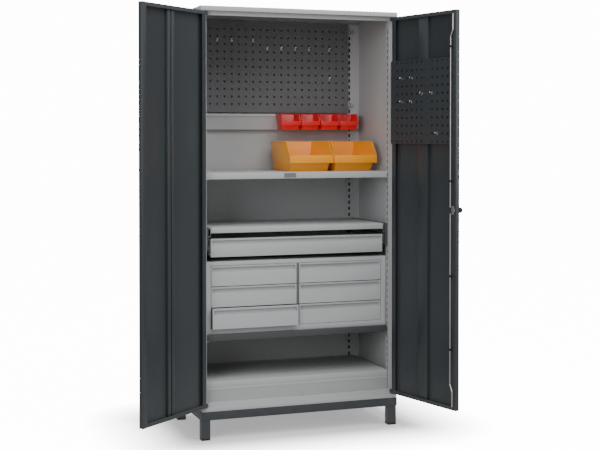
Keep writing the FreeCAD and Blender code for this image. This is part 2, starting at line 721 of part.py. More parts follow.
def door_pan(side):
    """A folded door: a face sheet, four flanges and four inward returns. Between its ends, the hinge
    edge steps back to the plane of the pins, and its ends have the pin holes."""
    edge = "(-dims.pin_inset)"
    step = f"({edge} + dims.rebate_width)"
    past_step = f"({step} + 2 * dims.sheet)"
    low, high = f"({DOOR_BOTTOM} + dims.end_return)", f"({DOOR_TOP} - dims.end_return)"
    inner_low, inner_high = f"({DOOR_BOTTOM} + dims.sheet)", f"({DOOR_TOP} - dims.sheet)"
    skin = f"({OUTSIDE} + dims.sheet)"
    block = leaf_box(side, edge, FREE_EDGE, OUTSIDE, INSIDE, DOOR_BOTTOM, DOOR_TOP)
    corner = leaf_box(side, f"{edge} - 1", f"{edge} + dims.corner_radius", f"{OUTSIDE} - 1",
                      f"{OUTSIDE} + dims.corner_radius", f"{DOOR_BOTTOM} - 1", f"{DOOR_TOP} + 1")
    round_x = f"{-side} * ({edge} + dims.corner_radius)"
    rounding = cylinder("dims.corner_radius", f"{DOOR_TOP} - {DOOR_BOTTOM}", round_x,
                        f"{OUTSIDE} + dims.corner_radius", DOOR_BOTTOM)
    rebate = leaf_box(side, f"{edge} - 1", step, 0, f"{INSIDE} + 1", low, high)
    hollows = [
        leaf_box(side, f"{step} + dims.sheet", f"{FREE_EDGE} - dims.sheet", skin, f"{INSIDE} + 1",
                 inner_low, inner_high),
        leaf_box(side, f"{edge} + dims.sheet", past_step, skin, "-dims.sheet", inner_low, inner_high),
        leaf_box(side, f"{edge} + dims.sheet", past_step, skin, f"{INSIDE} + 1",
                 inner_low, f"{low} - dims.sheet"),
        leaf_box(side, f"{edge} + dims.sheet", past_step, skin, f"{INSIDE} + 1",
                 f"{high} + dims.sheet", inner_high),
    ]
    inner_face = f"{INSIDE} - dims.sheet"
    returns = [
        leaf_box(side, step, f"{step} + dims.hinge_return", inner_face, INSIDE, DOOR_BOTTOM, DOOR_TOP),
        leaf_box(side, f"{FREE_EDGE} - dims.free_return", FREE_EDGE, inner_face, INSIDE, DOOR_BOTTOM, DOOR_TOP),
        leaf_box(side, edge, FREE_EDGE, inner_face, INSIDE, DOOR_BOTTOM, low),
        leaf_box(side, edge, FREE_EDGE, inner_face, INSIDE, high, DOOR_TOP),
    ]
    pan = cut(fuse([cut(block, [corner]), rounding]), [rebate] + hollows)
    hole_depth = "dims.end_return - 2 * dims.sheet"
    holes = [cylinder("dims.pin_radius + dims.pin_clearance", hole_depth, 0, 0, f"{DOOR_BOTTOM} - 1"),
             cylinder("dims.pin_radius + dims.pin_clearance", hole_depth, 0, 0,
                      f"{DOOR_TOP} + 1 - ({hole_depth})")]
    if side > 0:
        holes.append(cylinder("dims.spindle_radius + dims.pin_clearance", "dims.door_thickness + 2",
                              f"-{LOCK_X}", f"{INSIDE} + 1", LOCK_Z, "y"))
    return cut(fuse([pan] + returns), holes)


def stiffener(side, word, grooved):
    """A hat section behind the face sheet, with a groove down its middle where grooved."""
    middle = f"dims.{word}_stiffener_place"
    s0 = f"({middle} - dims.{word}_stiffener_width / 2)"
    s1 = f"({middle} + dims.{word}_stiffener_width / 2)"
    y0 = f"({OUTSIDE} + dims.sheet)"
    y1 = f"({y0} + dims.stiffener_depth)"
    z0 = f"({DOOR_BOTTOM} + dims.end_return)"
    z1 = f"({DOOR_TOP} - dims.end_return)"
    hat = leaf_box(side, s0, s1, y0, y1, z0, z1)
    hollow = leaf_box(side, f"{s0} + dims.sheet", f"{s1} - dims.sheet", f"{y0} - 1", f"{y1} - dims.sheet",
                      f"{z0} - 1", f"{z1} + 1")
    section = cut(hat, [hollow])
    if grooved:
        g0 = f"({middle} - dims.groove_width / 2)"
        g1 = f"({middle} + dims.groove_width / 2)"
        floor = f"({y1} - dims.groove_depth)"
        trough = leaf_box(side, f"{g0} - dims.sheet", f"{g1} + dims.sheet", f"{floor} - dims.sheet", y1, z0, z1)
        opening = leaf_box(side, g0, g1, floor, f"{y1} + 1", f"{z0} - 1", f"{z1} + 1")
        section = cut(fuse([section, trough]), [opening])
    return section


def doors():
    for side, word in ((-1, "left"), (1, "right")):
        node(hang(door_pan(side), side), f"{word}_door")
        node(hang(stiffener(side, word, side < 0), side), f"{word}_door_stiffener")

    fixed = leaf_box(-1, f"{FREE_EDGE} - dims.strip_width", FREE_EDGE, INSIDE,
                     f"{INSIDE} + dims.strip_lift + dims.sheet", DOOR_BOTTOM, DOOR_TOP)
    overlap = leaf_box(-1, f"{FREE_EDGE} - dims.sheet", f"{FREE_EDGE} + dims.strip_overlap",
                       f"{INSIDE} + dims.strip_lift", f"{INSIDE} + dims.strip_lift + dims.sheet",
                       DOOR_BOTTOM, DOOR_TOP)
    node(hang(fuse([fixed, overlap]), -1), "door_meeting_strip")

    pins = []
    for side in (-1, 1):
        for z in (f"{SOFFIT} - dims.pin_length", f"{BASE} + dims.sill_height"):
            pins.append(cylinder("dims.pin_radius", "dims.pin_length", f"{side} * {PIN_X}", PIN_Y, z))
    node(group(pins), "hinge_pins")


def door_board():
    """The board on the right door. It covers the hinge return and stops short of the meeting strip."""
    s0 = "(-dims.door_board_overlap)"
    s1 = f"({FREE_EDGE} - dims.door_board_gap)"
    span = value_of(f"{s1} - dims.door_board_first - dims.peg_hole")
    columns = int(span // size("peg_pitch")) + 1
    rows = fitting_count("dims.door_board_height", "dims.peg_hole")
    last = f"(dims.door_board_first + {columns - 1} * dims.peg_pitch)"
    back = f"({INSIDE} + dims.peg_plate)"
    board = perforated_board("door_pegboard", f"-{s1}", f"-{s0}", back, "dims.door_board_height",
                             f"-{last}", columns, rows, columns // 2 - 1)
    hang(board, 1)
    low = f"({BASE} + dims.door_board_level)"
    bind(board, "Placement.Base.z", low)

    hooks = []
    for column, row in ((8, 1), (7, 6), (5, 6), (3, 8), (1, 8), (1, 5), (3, 5)):
        x = f"(-dims.door_board_first - {column} * dims.peg_pitch)"
        z = f"({low} + dims.door_board_height / 2 + {row - rows // 2} * dims.peg_pitch)"
        hooks.append(wire_hook(x, back, z, 1))
    node(hang(group(hooks), 1), "door_hooks")


def lock():
    """The lock case in the door, the knob on its spindle and the cam that drives the rods."""
    case_end = f"({FREE_EDGE} - 2 * dims.sheet)"
    case_low = f"({LOCK_Z} - dims.case_drop)"
    case = leaf_box(1, f"{case_end} - dims.case_width", case_end, f"{OUTSIDE} + dims.sheet",
                    f"{INSIDE} - 2 * dims.sheet", case_low, f"{case_low} + dims.case_height")
    bore = cylinder("dims.spindle_radius + dims.pin_clearance", "2 * dims.door_thickness",
                    f"-{LOCK_X}", "dims.door_thickness", LOCK_Z, "y")
    node(hang(cut(case, [bore]), 1), "lock_case")

    cam_front = f"({ROD_Y} - dims.rod_radius - dims.rod_gap)"
    cam_back = f"({cam_front} - dims.cam_thickness)"
    neck_y = f"({OUTSIDE} - dims.slide_clearance)"
    spindle = cylinder("dims.spindle_radius", f"{cam_back} - {neck_y} + 1", f"-{LOCK_X}", cam_back, LOCK_Z, "y")
    neck = cylinder("0.7 * dims.knob_radius", "dims.knob_reach - dims.knob_thickness",
                    f"-{LOCK_X}", neck_y, LOCK_Z, "y")
    grip = cylinder("dims.knob_radius", "dims.knob_thickness", f"-{LOCK_X}",
                    f"{neck_y} - dims.knob_reach + dims.knob_thickness", LOCK_Z, "y")
    node(hang(fuse([spindle, neck, grip]), 1), "lock_knob")
    disc = cylinder("0.6 * dims.cam_radius", "dims.cam_thickness", f"-{LOCK_X}", cam_front, LOCK_Z, "y")
    arm = leaf_box(1, f"{LOCK_X} - 0.4 * dims.cam_radius", f"{LOCK_X} + 0.4 * dims.cam_radius",
                   cam_back, cam_front, f"{LOCK_Z} - dims.cam_radius", f"{LOCK_Z} + dims.cam_radius")
    node(hang(fuse([disc, arm]), 1), "lock_cam")


def bent_rod(label, points):
    """A round rod along straight runs with rounded corners, standing at the rods' distance."""
    body = doc.addObject("PartDesign::Body", label)
    path = body.newObject("Sketcher::SketchObject", "path")
    path.AttachmentSupport = (origin_plane(body, "XZ_Plane"), "")
    path.MapMode = "FlatFace"
    bind(path, "AttachmentOffset.Base.z", f"-{ROD_Y}")
    corners = [FreeCAD.Vector(value_of(x), value_of(z), 0) for x, z in points]
    for start, end in zip(corners, corners[1:]):
        path.addGeometry(Part.LineSegment(start, end))
    last = len(corners) - 2
    for index in range(last):
        path.addConstraint(Sketcher.Constraint("Coincident", index, 2, index + 1, 1))
    for index, (x, z) in enumerate(points):
        line, end = (index, 1) if index <= last else (last, 2)
        for kind, distance, expression in (("DistanceX", corners[index].x, x),
                                           ("DistanceY", corners[index].y, z)):
            number = path.addConstraint(Sketcher.Constraint(kind, -1, 1, line, end, distance))
            bind(path, f"Constraints[{number}]", expression)

    ring = body.newObject("Sketcher::SketchObject", "section")
    ring.AttachmentSupport = (origin_plane(body, "XY_Plane"), "")
    ring.MapMode = "FlatFace"
    bind(ring, "AttachmentOffset.Base.z", points[0][1])
    centre = FreeCAD.Vector(value_of(points[0][0]), value_of(ROD_Y), 0)
    ring.addGeometry(Part.Circle(centre, FreeCAD.Vector(0, 0, 1), size("rod_radius")))
    for kind, distance, expression in (("DistanceX", centre.x, points[0][0]), ("DistanceY", centre.y, ROD_Y)):
        number = ring.addConstraint(Sketcher.Constraint(kind, -1, 1, 0, 3, distance))
        bind(ring, f"Constraints[{number}]", expression)
    number = ring.addConstraint(Sketcher.Constraint("Radius", 0, size("rod_radius")))
    bind(ring, f"Constraints[{number}]", "dims.rod_radius")

    pipe = body.newObject("PartDesign::AdditivePipe", "rod")
    pipe.Profile = ring
    pipe.Spine = path
    pipe.Transition = "Round corner"
    doc.recompute()
    node(hang(body, 1), label)


def rods():
    line, end = f"-{ROD_X}", f"-{ROD_END}"
    tip = f"({SOFFIT} - dims.header_height - dims.rod_tip_gap)"
    bent_rod("upper_lock_rod", [(line, f"{LOCK_Z} + 0.7 * dims.cam_radius"),
                                (line, f"{tip} - dims.rod_bend_place"),
                                (end, f"{tip} - dims.rod_bend_place + dims.rod_bend_height"),
                                (end, tip)])
    tip = f"({FLOOR} + dims.rod_tip_gap)"
    bent_rod("lower_lock_rod", [(line, f"{LOCK_Z} - 0.7 * dims.cam_radius"),
                                (line, f"{tip} + dims.rod_bend_place"),
                                (end, f"{tip} + dims.rod_bend_place - dims.rod_bend_height"),
                                (end, tip)])

    guides = []
    for number in range(1, 5):
        z0 = f"({BASE} + dims.guide_level_{number})"
        block = leaf_box(1, f"{ROD_X} - dims.guide_width / 2", f"{ROD_X} + dims.guide_width / 2",
                         INSIDE, f"{ROD_Y} + dims.rod_radius + dims.guide_wall", z0, f"{z0} + dims.guide_height")
        bore = cylinder("dims.rod_radius + dims.guide_clearance", "2 * dims.guide_height",
                        f"-{ROD_X}", ROD_Y, f"{z0} - 1")
        guides.append(cut(block, [bore]))
    node(hang(group(guides), 1), "rod_guides")


# ---------------------------------------------------------------- slides, worktop and drawers

CARRIER = f"({OPENING} - dims.carrier_width)"
TRAY_HALF = f"({CARRIER} - dims.slide_width)"
UNIT_FRONT = f"({FACE} + dims.unit_setback)"
UNIT_BASE = f"({BASE} + dims.middle_shelf_level)"
ROWS_BASE = f"({UNIT_BASE} + dims.unit_plinth)"
ROWS_TOP = f"({ROWS_BASE} + dims.drawer_rows * dims.drawer_pitch)"
UNIT_TOP = f"({ROWS_TOP} + dims.unit_top_band)"
CELL_HALF = f"({SHELF_HALF} - dims.unit_side)"
DIVIDER = "(dims.divider_width / 2)"
WIDE_TOP = f"({UNIT_TOP} + dims.wide_drawer_above_unit + dims.wide_drawer_height)"
WORKTOP_TOP = f"({WIDE_TOP} + dims.worktop_above_drawer)"
SLIDE_FRONT = f"({FACE} + dims.worktop_setback + dims.slide_step)"
SLIDE_LENGTH = f"({REAR_POST} - {SLIDE_FRONT} - dims.slide_rear_gap)"
WORKTOP_SLIDE = f"({WORKTOP_TOP} - dims.slide_step - dims.slide_height / 2)"
WIDE_SLIDE = f"({WIDE_TOP} - dims.slide_step - dims.slide_height / 2)"
TRAY_REAR = f"({SHELF_REAR} - dims.drawer_rear_gap)"


def slide_member(side, near, far, height, web_at_far, y0, z):
    """A channel-section slide member between near and far, its flanges level with its web's ends."""
    x0, x1 = f"({CARRIER} - {far})", f"({CARRIER} - {near})"
    half = f"({height}) / 2"
    block = side_box(side, x0, x1, y0, f"{y0} + {SLIDE_LENGTH}", f"{z} - {half}", f"{z} + {half}")
    hollow_x0, hollow_x1 = (f"{x0} - 1", f"{x1} - dims.slide_wall")
    if web_at_far:
        hollow_x0, hollow_x1 = (f"{x0} + dims.slide_wall", f"{x1} + 1")
    hollow = side_box(side, hollow_x0, hollow_x1, f"{y0} - 1", f"{y0} + {SLIDE_LENGTH} + 1",
                      f"{z} - {half} + dims.slide_wall", f"{z} + {half} - dims.slide_wall")
    return cut(block, [hollow])


def slides():
    """Three-part telescopic slides for the worktop and for the wide drawer."""
    inset = "(dims.slide_wall + dims.slide_clearance)"
    far = "(dims.slide_width - dims.slide_clearance - dims.slide_wall)"
    outer_members = []
    for label, z, out in (("worktop", WORKTOP_SLIDE, "dims.worktop_out"), ("wide_drawer", WIDE_SLIDE, 0)):
        middle_members, inner_members = [], []
        for side in (-1, 1):
            outer_members.append(slide_member(side, 0, far, "dims.slide_height", False, SLIDE_FRONT, z))
            middle_members.append(slide_member(side, inset, far, f"dims.slide_height - 2 * {inset}", False,
                                               f"({SLIDE_FRONT} - {out} / 2)", z))
            inner_members.append(slide_member(side, f"2 * {inset}", "dims.slide_width",
                                              f"dims.slide_height - 4 * {inset}", True,
                                              f"({SLIDE_FRONT} - {out})", z))
        node(group(middle_members), f"{label}_slide_middles")
        node(group(inner_members), f"{label}_slide_inners")
    node(group(outer_members), "slide_outers")

    carriers = []
    for side in (-1, 1):
        low = f"({WIDE_SLIDE} - dims.slide_height / 2 - dims.carrier_foot)"
        high = f"({WORKTOP_TOP})"
        block = side_box(side, CARRIER, OPENING, SHELF_FRONT, REAR_POST, low, high)
        hollow = side_box(side, f"{CARRIER} + dims.carrier_wall", f"{OPENING} + 1",
                          f"{SHELF_FRONT} + dims.carrier_wall", f"{REAR_POST} - dims.carrier_wall",
                          f"{low} + dims.carrier_wall", f"{high} - dims.carrier_wall")
        carriers.append(cut(block, [hollow]))
    node(group(carriers), "slide_carriers")


def worktop():
    front = f"({FACE} + dims.worktop_setback)"
    tray = tray_shelf(TRAY_HALF, front, f"({SHELF_REAR} - dims.slide_step)", WORKTOP_TOP, "dims.worktop_lip")
    node(place(fuse([tray]), 0, "-dims.worktop_out", 0), "worktop")


def drawer(label, x0, x1, z0, height, front, tray_x0, tray_x1, rail_z, out):
    """A sheet drawer: a folded front with a full-width grip channel, an open tray and, if it runs on
    plain runners, a flange along each side."""
    rear = f"({front} + dims.front_depth)"
    top = f"({z0} + {height})"
    grip_high = f"({top} - dims.grip_top)"
    grip_low = f"({grip_high} - dims.grip_height)"
    block = box(x0, x1, front, rear, z0, top)
    channel = box(f"{x0} + dims.grip_inset", f"{x1} - dims.grip_inset", f"{front} - 1",
                  f"{front} + dims.grip_depth", grip_low, grip_high)
    inner_x0, inner_x1 = f"{x0} + dims.sheet", f"{x1} - dims.sheet"
    behind_face = box(inner_x0, inner_x1, f"{front} + dims.sheet", f"{rear} + 1",
                      f"{z0} + dims.sheet", f"{grip_low} - dims.sheet")
    behind_grip = box(inner_x0, inner_x1, f"{front} + dims.grip_depth + dims.sheet", f"{rear} + 1",
                      f"{grip_low} - 2 * dims.sheet", f"{grip_high} + 2 * dims.sheet")
    behind_lip = box(inner_x0, inner_x1, f"{front} + dims.sheet", f"{rear} + 1",
                     f"{grip_high} + dims.sheet", f"{top} - dims.sheet")
    face = cut(block, [channel, behind_face, behind_grip, behind_lip])

    tray_low = f"({z0} + dims.tray_lift)"
    tray_high = f"({top} - dims.tray_rim)"
    backing = box(x0, x1, f"{rear} - dims.sheet", rear, z0, tray_high)
    tray = box(tray_x0, tray_x1, rear, TRAY_REAR, tray_low, tray_high)
    hollow = box(f"{tray_x0} + dims.sheet", f"{tray_x1} - dims.sheet", f"{rear} + dims.sheet",
                 f"{TRAY_REAR} - dims.sheet", f"{tray_low} + dims.sheet", f"{tray_high} + 1")
    parts = [face, backing, cut(tray, [hollow])]
    if rail_z is not None:
        for start, end in ((f"{tray_x0} - dims.rail_flange", f"{tray_x0} + dims.sheet"),
                           (f"{tray_x1} - dims.sheet", f"{tray_x1} + dims.rail_flange")):
            parts.append(box(start, end, rear, TRAY_REAR, rail_z, f"{rail_z} + dims.sheet"))
    node(place(fuse(parts), 0, f"-({out})", 0), label)


def wide_drawer():
    low = f"({WIDE_TOP} - dims.wide_drawer_height)"
    drawer("wide_drawer", f"-({TRAY_HALF} - 1)", f"{TRAY_HALF} - 1", low, "dims.wide_drawer_height",
           f"({FACE} + dims.wide_drawer_setback)", f"-{TRAY_HALF}", TRAY_HALF, None, 0)


def unit_housing():
    """The open-fronted housing of the drawer unit, standing on the middle shelf."""
    plates = [
        box(f"-{SHELF_HALF}", SHELF_HALF, UNIT_FRONT, SHELF_REAR, f"{UNIT_TOP} - dims.sheet", UNIT_TOP),
        box(f"-{SHELF_HALF}", SHELF_HALF, UNIT_FRONT, SHELF_REAR, UNIT_BASE, f"{UNIT_BASE} + dims.sheet"),
        box(f"-{SHELF_HALF}", SHELF_HALF, UNIT_FRONT, f"{UNIT_FRONT} + dims.sheet", ROWS_TOP, UNIT_TOP),
        box(f"-{SHELF_HALF}", SHELF_HALF, UNIT_FRONT, f"{UNIT_FRONT} + dims.front_depth",
            ROWS_TOP, f"{ROWS_TOP} + dims.sheet"),
        box(f"-{SHELF_HALF}", SHELF_HALF, UNIT_FRONT, f"{UNIT_FRONT} + dims.sheet", UNIT_BASE, ROWS_BASE),
        box(f"-{SHELF_HALF}", SHELF_HALF, UNIT_FRONT, f"{UNIT_FRONT} + dims.front_depth",
            f"{ROWS_BASE} - dims.sheet", ROWS_BASE),
        box(f"-{CELL_HALF}", CELL_HALF, f"{SHELF_REAR} - dims.sheet", SHELF_REAR, UNIT_BASE, UNIT_TOP),
    ]
    for side in (-1, 1):
        plates.append(side_box(side, CELL_HALF, f"{CELL_HALF} + dims.sheet", UNIT_FRONT, SHELF_REAR,
                               UNIT_BASE, UNIT_TOP))
        plates.append(side_box(side, CELL_HALF, SHELF_HALF, UNIT_FRONT, f"{UNIT_FRONT} + dims.sheet",
                               UNIT_BASE, UNIT_TOP))
    node(fuse(plates), "drawer_unit_housing")

    post = box(f"-{DIVIDER}", DIVIDER, UNIT_FRONT, f"{SHELF_REAR} - dims.sheet", ROWS_BASE, ROWS_TOP)
    hollow = box(f"-{DIVIDER} + dims.sheet", f"{DIVIDER} - dims.sheet", f"{UNIT_FRONT} + dims.sheet",
                 f"{SHELF_REAR}", f"{ROWS_BASE} - 1", f"{ROWS_TOP} + 1")
    node(cut(post, [hollow]), "drawer_unit_divider")


def drawer_unit():
    unit_housing()
    runners = []
    row_names = ("bottom", "middle", "top")
    for side, column in ((-1, "left"), (1, "right")):
        for row in range(int(size("drawer_rows"))):
            z0 = f"({ROWS_BASE} + {row} * dims.drawer_pitch)"
            cell = (f"-{CELL_HALF}", f"-{DIVIDER}") if side < 0 else (DIVIDER, CELL_HALF)
            rail_z = f"({z0} + dims.drawer_pitch / 2)"
            tray_gap = "(dims.runner_width + dims.drawer_side_gap)"
            out = "dims.drawer_out" if (side, row) == (-1, 0) else 0
            drawer(f"drawer_{column}_{row_names[row]}", f"({cell[0]} + dims.drawer_side_gap)",
                   f"({cell[1]} - dims.drawer_side_gap)", f"({z0} + dims.drawer_gap / 2)",
                   "(dims.drawer_pitch - dims.drawer_gap)", UNIT_FRONT, f"({cell[0]} + {tray_gap})",
                   f"({cell[1]} - {tray_gap})", rail_z, out)
            runner_front = f"({UNIT_FRONT} + dims.front_depth + dims.slide_step)"
            runner_rear = f"({SHELF_REAR} - dims.sheet)"
            top = f"({rail_z} - dims.slide_clearance)"
            for wall, way in ((cell[0], 1), (cell[1], -1)):
                ledge = (wall, f"{wall} + dims.runner_width")
                upright = (wall, f"{wall} + dims.sheet")
                if way < 0:
                    ledge = (f"{wall} - dims.runner_width", wall)
                    upright = (f"{wall} - dims.sheet", wall)
                runners.append(fuse([
                    box(ledge[0], ledge[1], runner_front, runner_rear, f"{top} - dims.sheet", top),
                    box(upright[0], upright[1], runner_front, runner_rear, f"{top} - dims.runner_width", top),
                ]))
    node(group(runners), "drawer_runners")


# ---------------------------------------------------------------- bins

def open_bin(label, width, depth, height, x, y, z, lip):
    """An open-fronted bin: a low leaning front, sides that drop towards it and a hollow inside."""
    body = doc.addObject("PartDesign::Body", label)
    wall = "dims.bin_wall"
    toe = f"(-dims.bin_toe_share * {depth})"
    nose = f"(-{depth})"
    shoulder = f"(-dims.bin_shoulder_share * {depth})"
    front_height = f"(dims.bin_front_share * {height})"
    side_view = [(0, 0), (toe, 0), (nose, front_height), (shoulder, height), (0, height)]
    shell = outline(body, "YZ_Plane", side_view)
    block = pad(body, shell, width)
    block.Midplane = True
    inside = outline(body, "YZ_Plane", [
        (f"-{wall}", wall), (f"{toe} + {wall}", wall), (f"{nose} + 2 * {wall}", front_height),
        (f"{nose} + 2 * {wall}", f"2 * {height}"), (f"-{wall}", f"2 * {height}")])
    hollow = body.newObject("PartDesign::Pocket", "hollow")
    hollow.Profile = inside
    bind(hollow, "Length", f"{width} - 2 * {wall}")
    hollow.Midplane = True
    doc.recompute()
    if lip is not None:
        pad_lip = pad(body, outline(body, "YZ_Plane", lip), f"{width} - 4 * {wall}")
        pad_lip.Midplane = True
    place(body, x, y, z)
    node(body, label)


def bins():
    """Four small bins hung on the rail and two large ones on the upper shelf, in rows from the right."""
    back = f"({REAR_POST} - dims.rail_depth - dims.bin_stand_off)"
    rail_top = f"({BASE} + dims.rail_level + dims.rail_height)"
    lip_low = "(dims.red_bin_height - dims.bin_lip_drop)"
    lip = rectangle("-dims.bin_wall", "dims.bin_lip_reach", lip_low, f"({lip_low} + dims.bin_lip_thickness)")
    for number in range(1, 5):
        x = bin_place("red_bin", 4 - number)
        open_bin(f"red_bin_{number}", "dims.red_bin_width", "dims.red_bin_depth", "dims.red_bin_height",
                 x, back, f"({rail_top} - dims.red_bin_height)", lip)
    shelf_top = f"({BASE} + dims.upper_shelf_level)"
    back = f"({REAR_POST} - dims.orange_bin_rear_gap)"
    depth = f"({back} - {FACE} - dims.orange_bin_setback)"
    for number in range(1, 3):
        x = bin_place("orange_bin", 2 - number)
        open_bin(f"orange_bin_{number}", "dims.orange_bin_width", depth, "dims.orange_bin_height",
                 x, back, f"({shelf_top} + dims.bin_rest_gap)", None)


def bin_place(kind, steps):
    """The middle of a bin, counted in steps to the left from the right-hand end of its row."""
    width = f"dims.{kind}_width"
    return f"({OPENING} - dims.{kind}_end_gap - {width} / 2 - {steps} * ({width} + dims.{kind}_gap))"


# ---------------------------------------------------------------- the whole cabinet

def check_and_export():
    """Stops on any failed object or bad shape, then writes one file for each piece."""
    doc.recompute()
    for obj in doc.Objects:
        if "Invalid" in obj.State or "Error" in obj.State:
            raise RuntimeError(f"{obj.Label} failed: {obj.State}")
    labels = [obj.Label for obj in nodes]
    if len(set(labels)) != len(labels):
        raise RuntimeError("two pieces have one label")
    os.makedirs("parts", exist_ok=True)
    for obj in nodes:
        if obj.Shape.isNull() or not obj.Shape.isValid():
            raise RuntimeError(f"{obj.Label} has no valid shape")
        obj.Shape.exportStep(f"parts/{obj.Label}.step")
    print(len(nodes), "pieces written")


leg_frame()
frame_bolts()
roof_panel()
floor_panel()
side_panels()
back_panels()
posts()
shelves()
shelf_hooks()
back_board()
bin_rail()
doors()
door_board()
lock()
rods()
slides()
worktop()
wide_drawer()
drawer_unit()
bins()
check_and_export()
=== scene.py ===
"""Surface detail and finishes for a two-door workshop tool cabinet, laid out as an add-on."""

import json
import math

import bmesh
import bpy
from mathutils import Matrix, Vector


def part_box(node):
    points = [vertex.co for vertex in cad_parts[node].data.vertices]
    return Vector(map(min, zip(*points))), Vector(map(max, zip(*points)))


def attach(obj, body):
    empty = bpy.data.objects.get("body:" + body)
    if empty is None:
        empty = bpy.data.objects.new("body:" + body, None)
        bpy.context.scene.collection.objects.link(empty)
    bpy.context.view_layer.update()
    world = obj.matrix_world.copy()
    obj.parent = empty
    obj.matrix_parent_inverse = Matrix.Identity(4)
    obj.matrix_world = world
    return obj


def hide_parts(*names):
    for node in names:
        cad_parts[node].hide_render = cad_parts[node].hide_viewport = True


bl_info = {
    "name": "Workshop tool cabinet",
    "version": (1, 0, 0),
    "blender": (4, 5, 0),
    "location": "3D View > Sidebar > Cabinet",
    "description": "Models the detailed pieces and finishes of a two-door tool cabinet",
    "category": "Object",
}

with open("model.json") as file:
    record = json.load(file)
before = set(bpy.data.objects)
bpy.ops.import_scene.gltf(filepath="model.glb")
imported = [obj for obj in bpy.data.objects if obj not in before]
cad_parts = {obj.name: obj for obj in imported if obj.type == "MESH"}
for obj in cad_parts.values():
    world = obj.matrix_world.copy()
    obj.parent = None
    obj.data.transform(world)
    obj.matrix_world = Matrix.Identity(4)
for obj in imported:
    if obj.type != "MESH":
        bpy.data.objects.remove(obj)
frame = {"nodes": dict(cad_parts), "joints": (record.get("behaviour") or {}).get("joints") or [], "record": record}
NODES = frame["nodes"]
BODY_OF = {n: body for body, names in frame["record"]["behaviour"]["bodies"].items() for n in names}
SLOT_OF = {part["node"]: part["material_slot"] for part in frame["record"]["subparts"]}
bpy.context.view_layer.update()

FRONT = Vector((0, -1, 0))
FOLD_ANGLE = math.radians(35.0)
SMOOTH_ANGLE = math.radians(40.0)


# ------------------------------------------------------------------ sizes and colours a user changes

def length(name, description, default):
    return bpy.props.FloatProperty(name=name, description=description, default=default, min=0.0,
                                   precision=5, unit="LENGTH")


def colour(name, description, default):
    return bpy.props.FloatVectorProperty(name=name, description=description, default=default, size=3,
                                         min=0.0, max=1.0, subtype="COLOR")


class CabinetSizes(bpy.types.PropertyGroup):
    fold_rounding: length("Fold rounding", "Radius on the folds and cut edges of the sheet parts", 0.0005)
    tube_rounding: length("Tube rounding", "Radius on the corners of the leg tubes and the leg frame", 0.002)
    drawer_groove: length("Drawer groove", "Height of the fine groove in each drawer's top lip", 0.0015)
    drawer_lip: length("Drawer lip", "Height of the rolled lip over that groove", 0.004)
    groove_depth: length("Groove depth", "How far the fine groove goes in", 0.0009)
    bin_wall: length("Bin wall", "Wall thickness of the moulded bins", 0.0018)
    bin_rim: length("Bin rim", "How far a bin's rim stands out from its walls", 0.0022)
    bin_band: length("Bin band", "Height of the overhanging band across a bin's front", 0.038)
    # The dark rails in the gaps are bars of painted shade, standing for the shade in the drawer gaps.
    gap_clearance: length("Gap clearance", "Room between a drawer and the dark rails in the gaps", 0.0003)
    wire_radius: length("Wire radius", "Radius of the wire that the tool hooks are bent from", 0.002)
    seam_width: length("Seam width", "Width of the strip over the joint of the back sheets", 0.022)
    label_height: length("Label height", "Height of the card strip on the upper shelf", 0.022)


class CabinetColours(bpy.types.PropertyGroup):
    light_paint: colour("Light paint", "Powder coat of the carcass, shelves and drawers", (0.47, 0.48, 0.486))
    dark_paint: colour("Dark paint", "Powder coat of the doors and the leg frame", (0.040, 0.047, 0.052))
    shelf_paint: colour("Shelf paint", "Powder coat of the middle shelf and the slide carriers",
                        (0.070, 0.074, 0.078))
    board_paint: colour("Board paint", "Powder coat of the perforated boards", (0.135, 0.138, 0.146))
    zinc: colour("Zinc", "Plated steel of the rods, pins and slides", (0.55, 0.55, 0.54))
    wire: colour("Wire", "Bright steel of the tool hooks", (0.70, 0.70, 0.71))
    black: colour("Black plastic", "Moulded plastic of the knob and feet", (0.018, 0.018, 0.019))
    red: colour("Red plastic", "Moulded plastic of the small bins", (0.74, 0.010, 0.016))
    orange: colour("Orange plastic", "Moulded plastic of the large bins", (1.0, 0.36, 0.004))
    card: colour("Card", "Label strip on the upper shelf", (0.17, 0.172, 0.175))
    # Painted shade: near-black paint for the strips behind the post slots and the bars in the drawer gaps, where
    # the real cabinet has only shade.
    shade: colour("Slot backs", "Dark backs behind the slots of the posts", (0.012, 0.012, 0.013))
    floor: colour("Floor", "Studio floor", (0.9, 0.9, 0.9))


def sizes():
    return bpy.context.scene.cabinet_sizes


def colours():
    return bpy.context.scene.cabinet_colours


# ------------------------------------------------------------------ shader expressions

class Value:
    """One shader socket, usable in Python arithmetic: each operator adds a Math node."""

    def __init__(self, tree, socket):
        self.tree = tree
        self.socket = socket

    def math(self, operation, first, second=None):
        node = self.tree.nodes.new("ShaderNodeMath")
        node.operation = operation
        for slot, term in zip(node.inputs, (first, second)):
            if isinstance(term, Value):
                self.tree.links.new(term.socket, slot)
            elif term is not None:
                slot.default_value = term
        return Value(self.tree, node.outputs[0])

    def __add__(self, other):
        return self.math("ADD", self, other)

    def __radd__(self, other):
        return self.math("ADD", other, self)

    def __sub__(self, other):
        return self.math("SUBTRACT", self, other)

    def __rsub__(self, other):
        return self.math("SUBTRACT", other, self)

    def __mul__(self, other):
        return self.math("MULTIPLY", self, other)

    def __rmul__(self, other):
        return self.math("MULTIPLY", other, self)

    def __truediv__(self, other):
        return self.math("DIVIDE", self, other)

    def __pow__(self, other):
        return self.math("POWER", self, other)

    def clamped(self):
        return self.math("MINIMUM", self.math("MAXIMUM", self, 0.0), 1.0)


